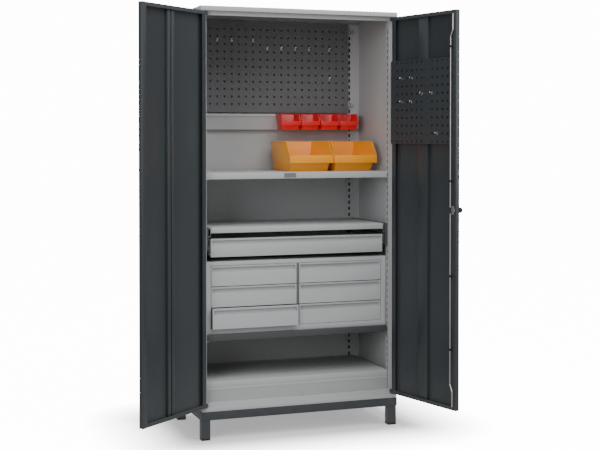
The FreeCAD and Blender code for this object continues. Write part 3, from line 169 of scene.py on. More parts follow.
def add_node(tree, kind, settings, inputs, output=0):
    """Adds one node, with its settings made first and then the value or link of each socket."""
    made = tree.nodes.new(kind)
    for name, setting in settings.items():
        setattr(made, name, setting)
    for name, term in inputs.items():
        slot = made.inputs[name]
        if isinstance(term, Value):
            tree.links.new(term.socket, slot)
        else:
            slot.default_value = term
    return Value(tree, made.outputs[output])


class Finish:
    """A material built from expressions on the piece's own Object coordinates."""

    def __init__(self, name):
        self.material = bpy.data.materials.new(name)
        self.material.use_nodes = True
        self.tree = self.material.node_tree
        self.shader = self.tree.nodes["Principled BSDF"]
        self.place = self.node("ShaderNodeTexCoord", {}, {}, "Object")

    def node(self, kind, settings, inputs, output=0):
        return add_node(self.tree, kind, settings, inputs, output)

    def stretched(self, x, y, z):
        return self.node("ShaderNodeMapping", {}, {"Vector": self.place, "Scale": (x, y, z)})

    def noise(self, scale, detail=3.0, rough=0.5, place=None):
        inputs = {"Vector": place or self.place, "Scale": scale, "Detail": detail, "Roughness": rough}
        return self.node("ShaderNodeTexNoise", {}, inputs, "Fac")

    def height(self, axis):
        return self.node("ShaderNodeSeparateXYZ", {}, {"Vector": self.place}, axis)

    def between(self, value, low, high):
        """0 at low, 1 at high, held outside."""
        return ((value - low) / (high - low)).clamped()

    def beyond(self, value, limit):
        """How far a value lies outside plus and minus a limit."""
        return value.math("MAXIMUM", value.math("ABSOLUTE", value) - limit, 0.0)

    def blend(self, factor, first, second):
        """Two colours mixed by a value. The mix node's colour sockets are 6 and 7 in and 2 out."""
        first, second = (term if isinstance(term, Value) else (*term, 1.0) for term in (first, second))
        return self.node("ShaderNodeMix", {"data_type": "RGBA"}, {"Factor": factor, 6: first, 7: second}, 2)

    def surface(self, base, roughness, bump=None, depth=0.0001, strength=0.5, **constants):
        for name, term in (("Base Color", base), ("Roughness", roughness)):
            self.tree.links.new(term.socket, self.shader.inputs[name])
        if bump is not None:
            relief = {"Height": bump, "Distance": depth, "Strength": strength}
            normal = self.node("ShaderNodeBump", {}, relief, "Normal")
            self.tree.links.new(normal.socket, self.shader.inputs["Normal"])
        for name, number in constants.items():
            self.shader.inputs[name.replace("_", " ")].default_value = number
        return self.material


def scaled(rgb, factor):
    return tuple(min(1.0, part * factor) for part in rgb)


def powder_coat(name, rgb, gloss, texture, dust):
    """Baked powder coat: orange peel, slight tone drift, and fine handling marks."""
    finish = Finish(name)
    drift = finish.noise(2.2, 2.0)
    grain = finish.noise(1500.0, 2.0)
    peel = finish.noise(620.0, 3.0, 0.6)
    marks = finish.between(finish.noise(9.0, 6.0, 0.62, finish.stretched(1.0, 1.0, 0.35)), 0.56, 0.78)
    tone = finish.blend(drift, scaled(rgb, 0.955), scaled(rgb, 1.05))
    speck = finish.blend(grain * 0.16, tone, scaled(rgb, 0.72))
    low = 1 - finish.between(finish.height("Z"), 0.0, 0.5)
    dusty = finish.blend((low * finish.noise(30.0, 5.0) * dust).clamped(), speck, (0.34, 0.32, 0.29))
    base = finish.blend(marks * 0.14, dusty, scaled(rgb, 1.22))
    rough = gloss + marks * 0.10 + grain * 0.07 - drift * 0.05
    return finish.surface(base, rough, peel + grain * 0.35, 0.00012, texture, Specular_IOR_Level=0.45)


def plated_steel(name, rgb, rough):
    """Bright zinc plate with drawn streaks along the height and faint cloudy bloom."""
    finish = Finish(name)
    streaks = finish.noise(900.0, 3.0, 0.6, finish.stretched(1.0, 1.0, 0.04))
    bloom = finish.noise(38.0, 5.0, 0.65)
    tone = finish.blend(bloom, scaled(rgb, 0.82), scaled(rgb, 1.12))
    base = finish.blend(streaks * 0.35, tone, (0.63, 0.59, 0.50))
    shine = rough + streaks * 0.14 + bloom * 0.12
    return finish.surface(base, shine, streaks, 0.00005, 0.35, Metallic=1.0)


def moulded_plastic(name, rgb, rough, grain_strength, gloss):
    """Injection-moulded plastic: fine spark-eroded grain, flow lines and scuffs."""
    finish = Finish(name)
    grain = finish.noise(1400.0, 2.0)
    flow = finish.noise(14.0, 4.0, 0.55, finish.stretched(1.0, 0.5, 2.5))
    scuffs = finish.between(finish.noise(75.0, 7.0, 0.7, finish.stretched(0.5, 1.0, 1.0)), 0.60, 0.74)
    tone = finish.blend(flow, scaled(rgb, 0.90), scaled(rgb, 1.10))
    base = finish.blend(scuffs * 0.22, tone, scaled(rgb, 1.6))
    shine = rough + grain * 0.08 + scuffs * 0.20
    return finish.surface(base, shine, grain + flow * 0.4, 0.00008, grain_strength,
                          Coat_Weight=gloss, Coat_Roughness=0.25)


def card_stock(name, rgb):
    """Plain card behind film, with a fine fibre."""
    finish = Finish(name)
    fibre = finish.noise(700.0, 5.0, 0.7)
    base = finish.blend(fibre, scaled(rgb, 0.9), scaled(rgb, 1.08))
    return finish.surface(base, 0.42 + fibre * 0.12, fibre, 0.00004, 0.3)


def floor_with_painted_glow(name, rgb, half_width, half_depth):
    """Paper with a painted glow: close to the cabinet the glow is off and the lamps' shadow shows, and farther out
    it glows white, a painted shade round the cabinet's footprint.
    """
    finish = Finish(name)
    cloud = finish.noise(1.3, 2.0)
    base = finish.blend(cloud, scaled(rgb, 0.985), scaled(rgb, 1.01))
    over_x = finish.beyond(finish.height("X"), half_width)
    over_y = finish.beyond(finish.height("Y"), half_depth)
    # Painted shade: the floor's glow fades out towards the cabinet's footprint.
    painted_shade_falloff = finish.between((over_x * over_x + over_y * over_y) ** 0.5, 0.02, 0.48)
    painted_glow = finish.blend(painted_shade_falloff ** 1.6, (0.02, 0.02, 0.02), (1.0, 1.0, 1.0))
    finish.tree.links.new(painted_glow.socket, finish.shader.inputs["Emission Color"])
    return finish.surface(base, 0.85 + cloud * 0.05, Emission_Strength=14.0)


PAINTS = {}


def mix_paints():
    """One finish for each material slot of the record, and the few extra ones."""
    tint = colours()
    PAINTS.update(
        light_paint=powder_coat("light_powder_coat", tint.light_paint, 0.40, 0.30, 0.10),
        dark_paint=powder_coat("anthracite_powder_coat", tint.dark_paint, 0.36, 0.34, 0.10),
        shelf_paint=powder_coat("middle_shelf_powder_coat", tint.shelf_paint, 0.40, 0.34, 0.05),
        board_paint=powder_coat("board_powder_coat", tint.board_paint, 0.42, 0.30, 0.0),
        zinc_steel=plated_steel("zinc_plate", tint.zinc, 0.26),
        chrome_wire=plated_steel("bright_wire", tint.wire, 0.12),
        black_plastic=moulded_plastic("black_moulding", tint.black, 0.42, 0.5, 0.0),
        red_plastic=moulded_plastic("red_moulding", tint.red, 0.30, 0.25, 0.25),
        orange_plastic=moulded_plastic("orange_moulding", tint.orange, 0.32, 0.25, 0.2),
        card=card_stock("label_card", tint.card),
        # Painted shade for the dark strips behind the post slots and the dark bars in the drawer gaps.
        shade=powder_coat("slot_back_coat", tint.shade, 0.60, 0.20, 0.0),
        floor=floor_with_painted_glow("floor_painted_glow", tint.floor, 0.5, 0.25),
    )


# ------------------------------------------------------------------ modelling by hand, in code

def deselect():
    if bpy.context.object and bpy.context.object.mode != "OBJECT":
        bpy.ops.object.mode_set(mode="OBJECT")
    bpy.ops.object.select_all(action="DESELECT")


def take(obj):
    """Selects one object alone and makes it the active one."""
    deselect()
    obj.hide_set(False)
    obj.select_set(True)
    bpy.context.view_layer.objects.active = obj
    return obj


def edit(obj):
    take(obj)
    bpy.ops.object.mode_set(mode="EDIT")
    bpy.ops.mesh.select_mode(type="FACE")


def leave():
    bpy.ops.object.mode_set(mode="OBJECT")


def block(name, low, high):
    """A box between two corners, with its place in its mesh."""
    deselect()
    low, high = Vector(low), Vector(high)
    bpy.ops.mesh.primitive_cube_add(size=1.0, location=(low + high) / 2)
    obj = bpy.context.object
    obj.name = name
    obj.scale = high - low
    bpy.ops.object.transform_apply(location=True, rotation=True, scale=True)
    return obj


def rod(name, radius, depth, centre, axis, sides):
    """A round bar about an axis, with its place in its mesh."""
    deselect()
    turn = Vector((0, 0, 1)).rotation_difference(Vector(axis))
    bpy.ops.mesh.primitive_cylinder_add(vertices=sides, radius=radius, depth=depth, location=centre,
                                        rotation=turn.to_euler())
    obj = bpy.context.object
    obj.name = name
    bpy.ops.object.transform_apply(location=True, rotation=True, scale=True)
    return obj


def pick(test):
    """In edit mode, selects the faces for which the test on (centre, normal) holds, and counts them."""
    mesh = bmesh.from_edit_mesh(bpy.context.object.data)
    mesh.normal_update()
    for part in (*mesh.verts, *mesh.edges, *mesh.faces):
        part.select = False
    chosen = [face for face in mesh.faces if test(face.calc_center_median(), face.normal)]
    for face in chosen:
        face.select = True
    mesh.select_flush_mode()
    bmesh.update_edit_mesh(bpy.context.object.data)
    return len(chosen)


def slice_mesh(point, normal, clear=False):
    """Cuts the whole mesh along a plane. With clear, what lies beyond is removed and closed."""
    bpy.ops.mesh.select_all(action="SELECT")
    bpy.ops.mesh.bisect(plane_co=point, plane_no=normal, use_fill=clear, clear_outer=clear)


def push(vector):
    """Extrudes the selected region and moves it."""
    bpy.ops.mesh.extrude_region_move(TRANSFORM_OT_translate={"value": vector})


def inset(obj, facing, margin):
    """Insets the faces that look along a direction. The object stays in edit mode, for the next step."""
    edit(obj)
    pick(lambda c, n: n.dot(facing) > 0.9)
    bpy.ops.mesh.inset(thickness=margin)


def modify(obj, kind, **settings):
    take(obj)
    modifier = obj.modifiers.new(kind.title(), kind)
    for name, setting in settings.items():
        setattr(modifier, name, setting)
    bpy.ops.object.modifier_apply(modifier=modifier.name)


def smooth(obj):
    take(obj)
    bpy.ops.object.shade_smooth_by_angle(angle=SMOOTH_ANGLE)
    return obj


def rounded(obj, width, segments=2):
    modify(obj, "BEVEL", width=width, segments=segments, limit_method="ANGLE", angle_limit=FOLD_ANGLE,
           use_clamp_overlap=True)
    return smooth(obj)


def closed_outwards(obj):
    """Merges doubles and turns every face outwards."""
    edit(obj)
    bpy.ops.mesh.select_all(action="SELECT")
    bpy.ops.mesh.remove_doubles(threshold=1e-6)
    bpy.ops.mesh.normals_make_consistent(inside=False)
    leave()
    return obj


def joined(parts, name):
    deselect()
    for part in parts:
        part.select_set(True)
    bpy.context.view_layer.objects.active = parts[0]
    bpy.ops.object.join()
    bpy.context.object.name = name
    bpy.context.object.data.name = name
    return bpy.context.object


def copied(obj, matrix, name):
    """A copy with its own mesh, moved in its mesh."""
    take(obj)
    bpy.ops.object.duplicate()
    twin = bpy.context.object
    twin.name = name
    twin.data.transform(matrix)
    return twin


def finish_piece(obj, body, slot, *stands_for):
    """Gives a finished piece its paint and its body, and hides the plain nodes it stands for."""
    obj.data.materials.clear()
    obj.data.materials.append(PAINTS[slot])
    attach(obj, body)
    if stands_for:
        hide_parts(*stands_for)
    return obj


def folded_copy(node, rounding, shape=None, segments=2):
    """A sheet or tube part with its folds rounded: the plain part's own mesh, merged and bevelled."""
    take(NODES[node])
    bpy.ops.object.duplicate()
    obj = bpy.context.object
    for key in list(obj.keys()):
        del obj[key]
    obj.parent = None
    obj.name = node + "_folded"
    obj.data.name = obj.name
    bpy.ops.mesh.customdata_custom_splitnormals_clear()
    edit(obj)
    bpy.ops.mesh.select_all(action="SELECT")
    bpy.ops.mesh.remove_doubles(threshold=2e-6)
    bpy.ops.mesh.dissolve_limited(angle_limit=math.radians(0.4))
    if shape:
        shape(obj)
    leave()
    rounded(obj, rounding, segments)
    return finish_piece(obj, BODY_OF[node], SLOT_OF[node], node)


# ------------------------------------------------------------------ the pieces

class CABINET_OT_finishes(bpy.types.Operator):
    """Mix every finish and paint the plain parts with them"""

    bl_idname = "cabinet.finishes"
    bl_label = "Finishes"

    def execute(self, context):
        mix_paints()
        for name, obj in NODES.items():
            obj.data.materials.clear()
            obj.data.materials.append(PAINTS[SLOT_OF[name]])
        return {"FINISHED"}


class CABINET_OT_carcass(bpy.types.Operator):
    """Round the folds of the carcass, shelves and leg frame"""

    bl_idname = "cabinet.carcass"
    bl_label = "Carcass and leg frame"

    def execute(self, context):
        for node in ("leg_frame", "legs"):
            folded_copy(node, sizes().tube_rounding, segments=3)
        for node in ("roof_panel", "floor_panel", "left_side_panel", "right_side_panel", "upper_shelf",
                     "middle_shelf", "bottom_shelf", "plinth_riser", "bin_rail", "drawer_unit_housing",
                     "drawer_unit_divider", "slide_carriers"):
            folded_copy(node, sizes().fold_rounding)
        return {"FINISHED"}


class CABINET_OT_doors(bpy.types.Operator):
    """Round the folds of the doors, their stiffeners and the meeting strip"""

    bl_idname = "cabinet.doors"
    bl_label = "Doors"

    def execute(self, context):
        for node in ("left_door", "right_door", "left_door_stiffener", "right_door_stiffener",
                     "door_meeting_strip", "lock_case", "lock_cam"):
            folded_copy(node, sizes().fold_rounding)
        return {"FINISHED"}


class CABINET_OT_drawers(bpy.types.Operator):
    """Cut the fine groove under each drawer's lip and round the folds"""

    bl_idname = "cabinet.drawers"
    bl_label = "Drawers and worktop"

    ROWS = ("bottom", "middle", "top")

    # The dark bars of painted shade in the drawer gaps, set back from the housing's front edge, with the gaps
    # beside and above the drawers.
    SHADE_BAR_SETBACK = 0.0015
    SHADE_BAR_DEPTH = 0.016
    UPRIGHT_SETBACK = 0.0002
    SIDE_GAP = 0.002
    END_GAP = 0.00175
    SHADE_BAR_INSET = 0.0002

    def execute(self, context):
        drawers = [node for node in NODES if node.startswith("drawer_") and node.endswith(self.ROWS)]
        for node in (*drawers, "wide_drawer"):
            folded_copy(node, sizes().fold_rounding, self.groove)
        folded_copy("worktop", sizes().fold_rounding)
        for column in ("left", "right"):
            self.painted_shade_bars(column)
        return {"FINISHED"}

    def painted_shade_bars(self, column):
        """Dark bars of painted shade in the gaps round the three drawers of one column, fixed to the housing."""
        rows = [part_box(f"drawer_{column}_{row}") for row in self.ROWS]
        clear = sizes().gap_clearance
        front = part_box("drawer_unit_housing")[0].y + self.SHADE_BAR_SETBACK
        rear = front + self.SHADE_BAR_DEPTH
        left, right = rows[0][0].x, rows[0][1].x
        outer_left, outer_right = left - self.SIDE_GAP, right + self.SIDE_GAP
        base, top = rows[0][0].z, rows[2][1].z
        levels = [(base - self.END_GAP, base - clear), (top + clear, top + self.END_GAP)]
        for under, over in zip(rows, rows[1:]):
            levels.append((under[1].z + clear, over[0].z - clear))
        bars = []
        for low, high in levels:
            bars.append(block("painted_shade_bar", (outer_left, front, low), (outer_right, rear, high)))
        front, rear = front + self.UPRIGHT_SETBACK, rear - self.UPRIGHT_SETBACK
        low, high = base - self.END_GAP, top + self.END_GAP
        for start, end in ((outer_left, left - clear), (right + clear, outer_right)):
            bars.append(block("painted_shade_bar", (start, front, low), (end, rear, high)))
        for bar in bars:
            inset(bar, FRONT, self.SHADE_BAR_INSET)
            leave()
        finish_piece(joined(bars, column + "_painted_shade_bars"), "cabinet", "shade")

    def groove(self, obj):
        low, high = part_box(obj.name.removesuffix("_folded"))
        upper = high.z - sizes().drawer_lip
        lower = upper - sizes().drawer_groove
        for level in (upper, lower):
            slice_mesh((0, low.y, level), (0, 0, 1))
        found = pick(lambda c, n: n.y < -0.9 and abs(c.y - low.y) < 1e-4 and lower < c.z < upper)
        if not found:
            raise RuntimeError(obj.name + " has no face for its groove")
        push((0, sizes().groove_depth, 0))


class CABINET_OT_trim(bpy.types.Operator):
    """Model the back seam strip, the label strip, the dark strips of painted shade behind the post slots and the
    frame bolts
    """

    bl_idname = "cabinet.trim"
    # In this label, the slot backs are the dark strips of painted shade behind the post slots.
    bl_label = "Seam, label strip, slot backs and bolts"

    # The strip over the joint of the back sheets.
    SEAM_THICKNESS = 0.0014
    SEAM_INSET_SHARE = 0.35
    SEAM_SINK = 0.0006
    # The dark strips of painted shade behind the slots: the slots' distance from a post's inner edge, and each
    # strip's own sizes.
    SLOT_LINE = 0.013
    SHADE_STRIP_HALF_WIDTH = 0.0085
    SHADE_STRIP_SETBACK = 0.0017
    SHADE_STRIP_THICKNESS = 0.0008
    SHADE_STRIP_INSET = 0.001
    SHADE_STRIP_TOP_GAP = 0.002
    # The label holder, from the left end of the shelf.
    LABEL_PLACE = 0.385
    LABEL_WIDTH = 0.06
    HOLDER_MARGIN = 0.002
    HOLDER_THICKNESS = 0.0009
    HOLDER_SINK = 0.0005
    CARD_THICKNESS = 0.00025
    # The bolt heads, and the share of a bolt's height that they take.
    HEAD_RADIUS = 0.0064
    HEAD_SHARE = 0.6

    def execute(self, context):
        self.seam()
        self.slot_backs()
        self.label_strip()
        self.bolts()
        return {"FINISHED"}

    def seam(self):
        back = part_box("left_back_panel")[0].y
        half = sizes().seam_width / 2
        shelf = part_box("bottom_shelf")[1].z
        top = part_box("roof_panel")[0].z
        seam = block("back_seam_strip", (-half, back - self.SEAM_THICKNESS, shelf), (half, back, top))
        inset(seam, FRONT, half * self.SEAM_INSET_SHARE)
        bpy.ops.transform.translate(value=(0, self.SEAM_SINK, 0))
        leave()
        finish_piece(rounded(seam, 0.0002), "cabinet", "light_paint")

    def slot_backs(self):
        """A dark strip of painted shade inside each post, close behind its row of slots, where the real post has
        only shade.
        """
        for word, way in (("left", -1), ("right", 1)):
            near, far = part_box(word + "_rear_post")
            line = (far.x if way < 0 else near.x) + way * self.SLOT_LINE
            face = near.y + self.SHADE_STRIP_SETBACK
            self.slot_back(word + "_rear_slot_back", FRONT, (line - self.SHADE_STRIP_HALF_WIDTH, face),
                           (line + self.SHADE_STRIP_HALF_WIDTH, face + self.SHADE_STRIP_THICKNESS))
            near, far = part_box(word + "_front_post")
            face = (far.x if way < 0 else near.x) + way * self.SHADE_STRIP_SETBACK
            sides = sorted((face, face + way * self.SHADE_STRIP_THICKNESS))
            line = (near.y + far.y) / 2
            self.slot_back(word + "_front_slot_back", Vector((-way, 0, 0)),
                           (sides[0], line - self.SHADE_STRIP_HALF_WIDTH), (sides[1], line + self.SHADE_STRIP_HALF_WIDTH))

    def slot_back(self, name, facing, low, high):
        """One strip between two corners of its plan, from the bottom shelf to just under the roof."""
        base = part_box("bottom_shelf")[1].z
        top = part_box("roof_panel")[0].z - self.SHADE_STRIP_TOP_GAP
        strip = block(name, (*low, base), (*high, top))
        inset(strip, facing, self.SHADE_STRIP_INSET)
        leave()
        finish_piece(strip, "cabinet", "shade")

    def label_strip(self):
        """A flat holder on the shelf's front edge, sunk in its middle, with a card in it."""
        low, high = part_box("upper_shelf")
        middle = (low.z + high.z) / 2
        half = sizes().label_height / 2
        margin = self.HOLDER_MARGIN
        face = low.y - self.HOLDER_THICKNESS
        start = low.x + self.LABEL_PLACE + margin
        end = start + self.LABEL_WIDTH
        holder = block("shelf_label_holder", (start - margin, face, middle - half - margin),
                       (end + margin, low.y, middle + half + margin))
        inset(holder, FRONT, 0.0015)
        push((0, self.HOLDER_SINK, 0))
        leave()
        finish_piece(rounded(holder, 0.0001), "cabinet", "light_paint")
        rear = face + self.HOLDER_SINK
        card = block("shelf_label_card", (start, rear - self.CARD_THICKNESS, middle - half),
                     (end, rear, middle + half))
        inset(card, FRONT, 0.0006)
        leave()
        finish_piece(card, "cabinet", "card")

    def bolts(self):
        low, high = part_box("frame_bolts")
        heads = []
        for x in (low.x + self.HEAD_RADIUS, high.x - self.HEAD_RADIUS):
            for y in (low.y + self.HEAD_RADIUS, high.y - self.HEAD_RADIUS):
                heads.append(self.bolt(Vector((x, y, low.z)), high.z - low.z))
        finish_piece(joined(heads, "hex_frame_bolts"), "cabinet", "zinc_steel", "frame_bolts")

    def bolt(self, foot, tall):
        """A six-sided head on a point, with the shank above it."""
        head = tall * self.HEAD_SHARE
        bolt = rod("bolt", self.HEAD_RADIUS, head, foot + Vector((0, 0, head / 2)), (0, 0, 1), 6)
        inset(bolt, Vector((0, 0, -1)), 0.0012)
        push((0, 0, 0.0006))
        pick(lambda c, n: n.z > 0.9)
        bpy.ops.mesh.inset(thickness=0.0024)
        push((0, 0, tall - head))
        leave()
        return rounded(bolt, 0.0003)


class CABINET_OT_feet(bpy.types.Operator):
    """Model the moulded feet pressed into the leg tubes"""

    bl_idname = "cabinet.feet"
    bl_label = "Feet"

    LEG_WIDTH = 0.042

    def execute(self, context):
        low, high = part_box("foot_caps")
        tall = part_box("legs")[0].z - low.z
        feet = []
        for x in (low.x, high.x - self.LEG_WIDTH):
            for y in (low.y, high.y - self.LEG_WIDTH):
                feet.append(self.foot(Vector((x, y, low.z)), tall))
        finish_piece(joined(feet, "moulded_feet"), "cabinet", "black_plastic", "foot_caps")
        return {"FINISHED"}

    def foot(self, corner, tall):
        """A square pad with a hollow sole and a plug that goes up into the tube."""
        foot = block("foot", corner, corner + Vector((self.LEG_WIDTH, self.LEG_WIDTH, tall)))
        inset(foot, Vector((0, 0, -1)), 0.004)
        push((0, 0, 0.002))
        pick(lambda c, n: n.z > 0.9)
        bpy.ops.mesh.inset(thickness=0.0025)
        push((0, 0, 0.012))
        leave()
        return rounded(foot, 0.0012, 3)


class CABINET_OT_knob(bpy.types.Operator):
    """Turn the door knob, with its finger grips and key barrel"""

    bl_idname = "cabinet.knob"
    bl_label = "Door knob"

    # Lengths along the lock's axis from the door's joint, and the flutes round the rim in degrees.
    KNOB_THICKNESS = 0.014
    SPINDLE_RADIUS = 0.0044
    SPINDLE_END = 0.011
    BOSS_END = 0.0116
    FLUTE_PITCH = 30.0
    FLUTE_WIDTH = 14.0
    FLUTE_DEPTH = 0.0008
    TOP_DEPTH = 0.0001

    def execute(self, context):
        joint = next(j for j in frame["joints"] if j["name"] == "handle_turn")
        axis = Vector(joint["axis"]).normalized()
        pin = Vector(joint["pos_m"])
        arms = [vertex.co - pin for vertex in NODES["lock_knob"].data.vertices]
        along = [arm.dot(axis) for arm in arms]
        radius = max((arm - axis * arm.dot(axis)).length for arm in arms)
        self.spindle(axis, pin, min(along))
        self.knob(axis, pin, max(along), radius)
        return {"FINISHED"}

    def spindle(self, axis, pin, inner):
        """The bar from the cam's end to just inside the knob."""
        centre = pin + axis * (inner + self.SPINDLE_END) / 2
        spindle = rod("lock_spindle", self.SPINDLE_RADIUS, self.SPINDLE_END - inner, centre, axis, 24)
        inset(spindle, -axis, 0.0012)
        push(axis * 0.0008)
        leave()
        finish_piece(rounded(spindle, 0.0003), "handle", "zinc_steel")

    def knob(self, axis, pin, reach, radius):
        """The fluted knob, with a sunk ring round its key barrel and a boss towards the door."""
        centre = pin + axis * (reach - self.KNOB_THICKNESS / 2)
        knob = rod("turning_knob", radius, self.KNOB_THICKNESS, centre, axis, 48)
        right = axis.cross(Vector((0, 0, 1))).normalized()

        def flute(c, n):
            turn = math.degrees(math.atan2(n.dot(right), n.z)) % self.FLUTE_PITCH
            return abs(n.dot(axis)) < 0.1 and turn < self.FLUTE_WIDTH

        edit(knob)
        pick(flute)
        bpy.ops.mesh.inset(thickness=0.0004)
        bpy.ops.transform.shrink_fatten(value=-self.FLUTE_DEPTH)
        pick(lambda c, n: n.dot(axis) > 0.95 and (c - pin).dot(axis) > reach - self.TOP_DEPTH)
        bpy.ops.mesh.inset(thickness=0.0035)
        push(axis * -0.0012)
        bpy.ops.mesh.inset(thickness=0.0045)
        push(axis * 0.0011)
        pick(lambda c, n: n.dot(axis) < -0.95)
        bpy.ops.mesh.inset(thickness=0.0042)
        push(axis * (self.BOSS_END + self.KNOB_THICKNESS - reach))
        leave()
        finish_piece(rounded(knob, 0.0004), "handle", "black_plastic", "lock_knob")


class CABINET_OT_hooks(bpy.types.Operator):
    """Bend one wire hook and hang a copy at each place on the two boards"""

    bl_idname = "cabinet.hooks"
    bl_label = "Tool hooks"

    # The wire: a straight arm, a bend upwards and a short tip, on a small plate.
    BEND = math.radians(80.0)
    BEND_RADIUS = 0.006
    ARM = 0.018
    WIRE_START = 0.001
    TIP = 0.004
    PLATE_HALF = Vector((0.004, 0.0, 0.008))
    PLATE_THICKNESS = Vector((0.0, 0.0015, 0.0))

    def execute(self, context):
        pattern = self.wire_hook()
        for node in ("pegboard_hooks", "door_hooks"):
            hooks = [copied(pattern, place, "hook") for place in self.places(node)]
            finish_piece(joined(hooks, "wire_" + node), BODY_OF[node], "chrome_wire", node)
        take(pattern)
        bpy.ops.object.delete()
        return {"FINISHED"}

    def wire_hook(self):
        """A hook at the origin: the board's face is the XZ plane and the arm comes out along -Y."""
        deselect()
        bpy.ops.mesh.primitive_circle_add(vertices=10, radius=sizes().wire_radius, fill_type="NGON",
                                          rotation=(math.radians(90.0), 0, 0),
                                          location=(0, -self.WIRE_START, 0))
        wire = bpy.context.object
        wire.name = "hook_pattern"
        bpy.ops.object.transform_apply(location=True, rotation=True, scale=True)
        edit(wire)
        bpy.ops.mesh.select_all(action="SELECT")
        push((0, self.WIRE_START - self.ARM, 0))
        bpy.ops.mesh.spin(steps=7, angle=self.BEND, center=(0, -self.ARM, self.BEND_RADIUS), axis=(-1, 0, 0))
        push(Vector((0, -math.cos(self.BEND), math.sin(self.BEND))) * self.TIP)
        bpy.ops.mesh.select_all(action="SELECT")
        bpy.ops.mesh.normals_make_consistent(inside=False)
        leave()
        smooth(wire)
        plate = block("hook_plate", -self.PLATE_HALF - self.PLATE_THICKNESS, self.PLATE_HALF)
        inset(plate, FRONT, 0.0015)
        bpy.ops.transform.translate(value=(0, 0.0004, 0))
        leave()
        return joined([wire, rounded(plate, 0.0004)], "hook_pattern")

    def places(self, node):
        """Where each plain hook sits, and how it is turned, from the islands of its mesh."""
        shape = bmesh.new()
        shape.from_mesh(NODES[node].data)
        bmesh.ops.remove_doubles(shape, verts=shape.verts[:], dist=2e-6)
        seen, found = set(), []
        for start in shape.verts:
            if start in seen:
                continue
            island, queue = [], [start]
            seen.add(start)
            while queue:
                point = queue.pop()
                island.append(point.co.copy())
                for line in point.link_edges:
                    other = line.other_vert(point)
                    if other not in seen:
                        seen.add(other)
                        queue.append(other)
            found.append(island)
        shape.free()
        turn = 0.0
        if node == "door_hooks":
            hinge = next(j for j in frame["joints"] if j["name"] == "right_door_hinge")
            turn = math.radians(180.0 - hinge["range_deg"][0])
        facing = Matrix.Rotation(turn, 4, "Z")
        for island in found:
            local = [facing.inverted() @ point for point in island]
            x = (min(p.x for p in local) + max(p.x for p in local)) / 2
            y = max(p.y for p in local)
            z = min(p.z for p in local) + self.PLATE_HALF.z
            yield facing @ Matrix.Translation((x, y, z))


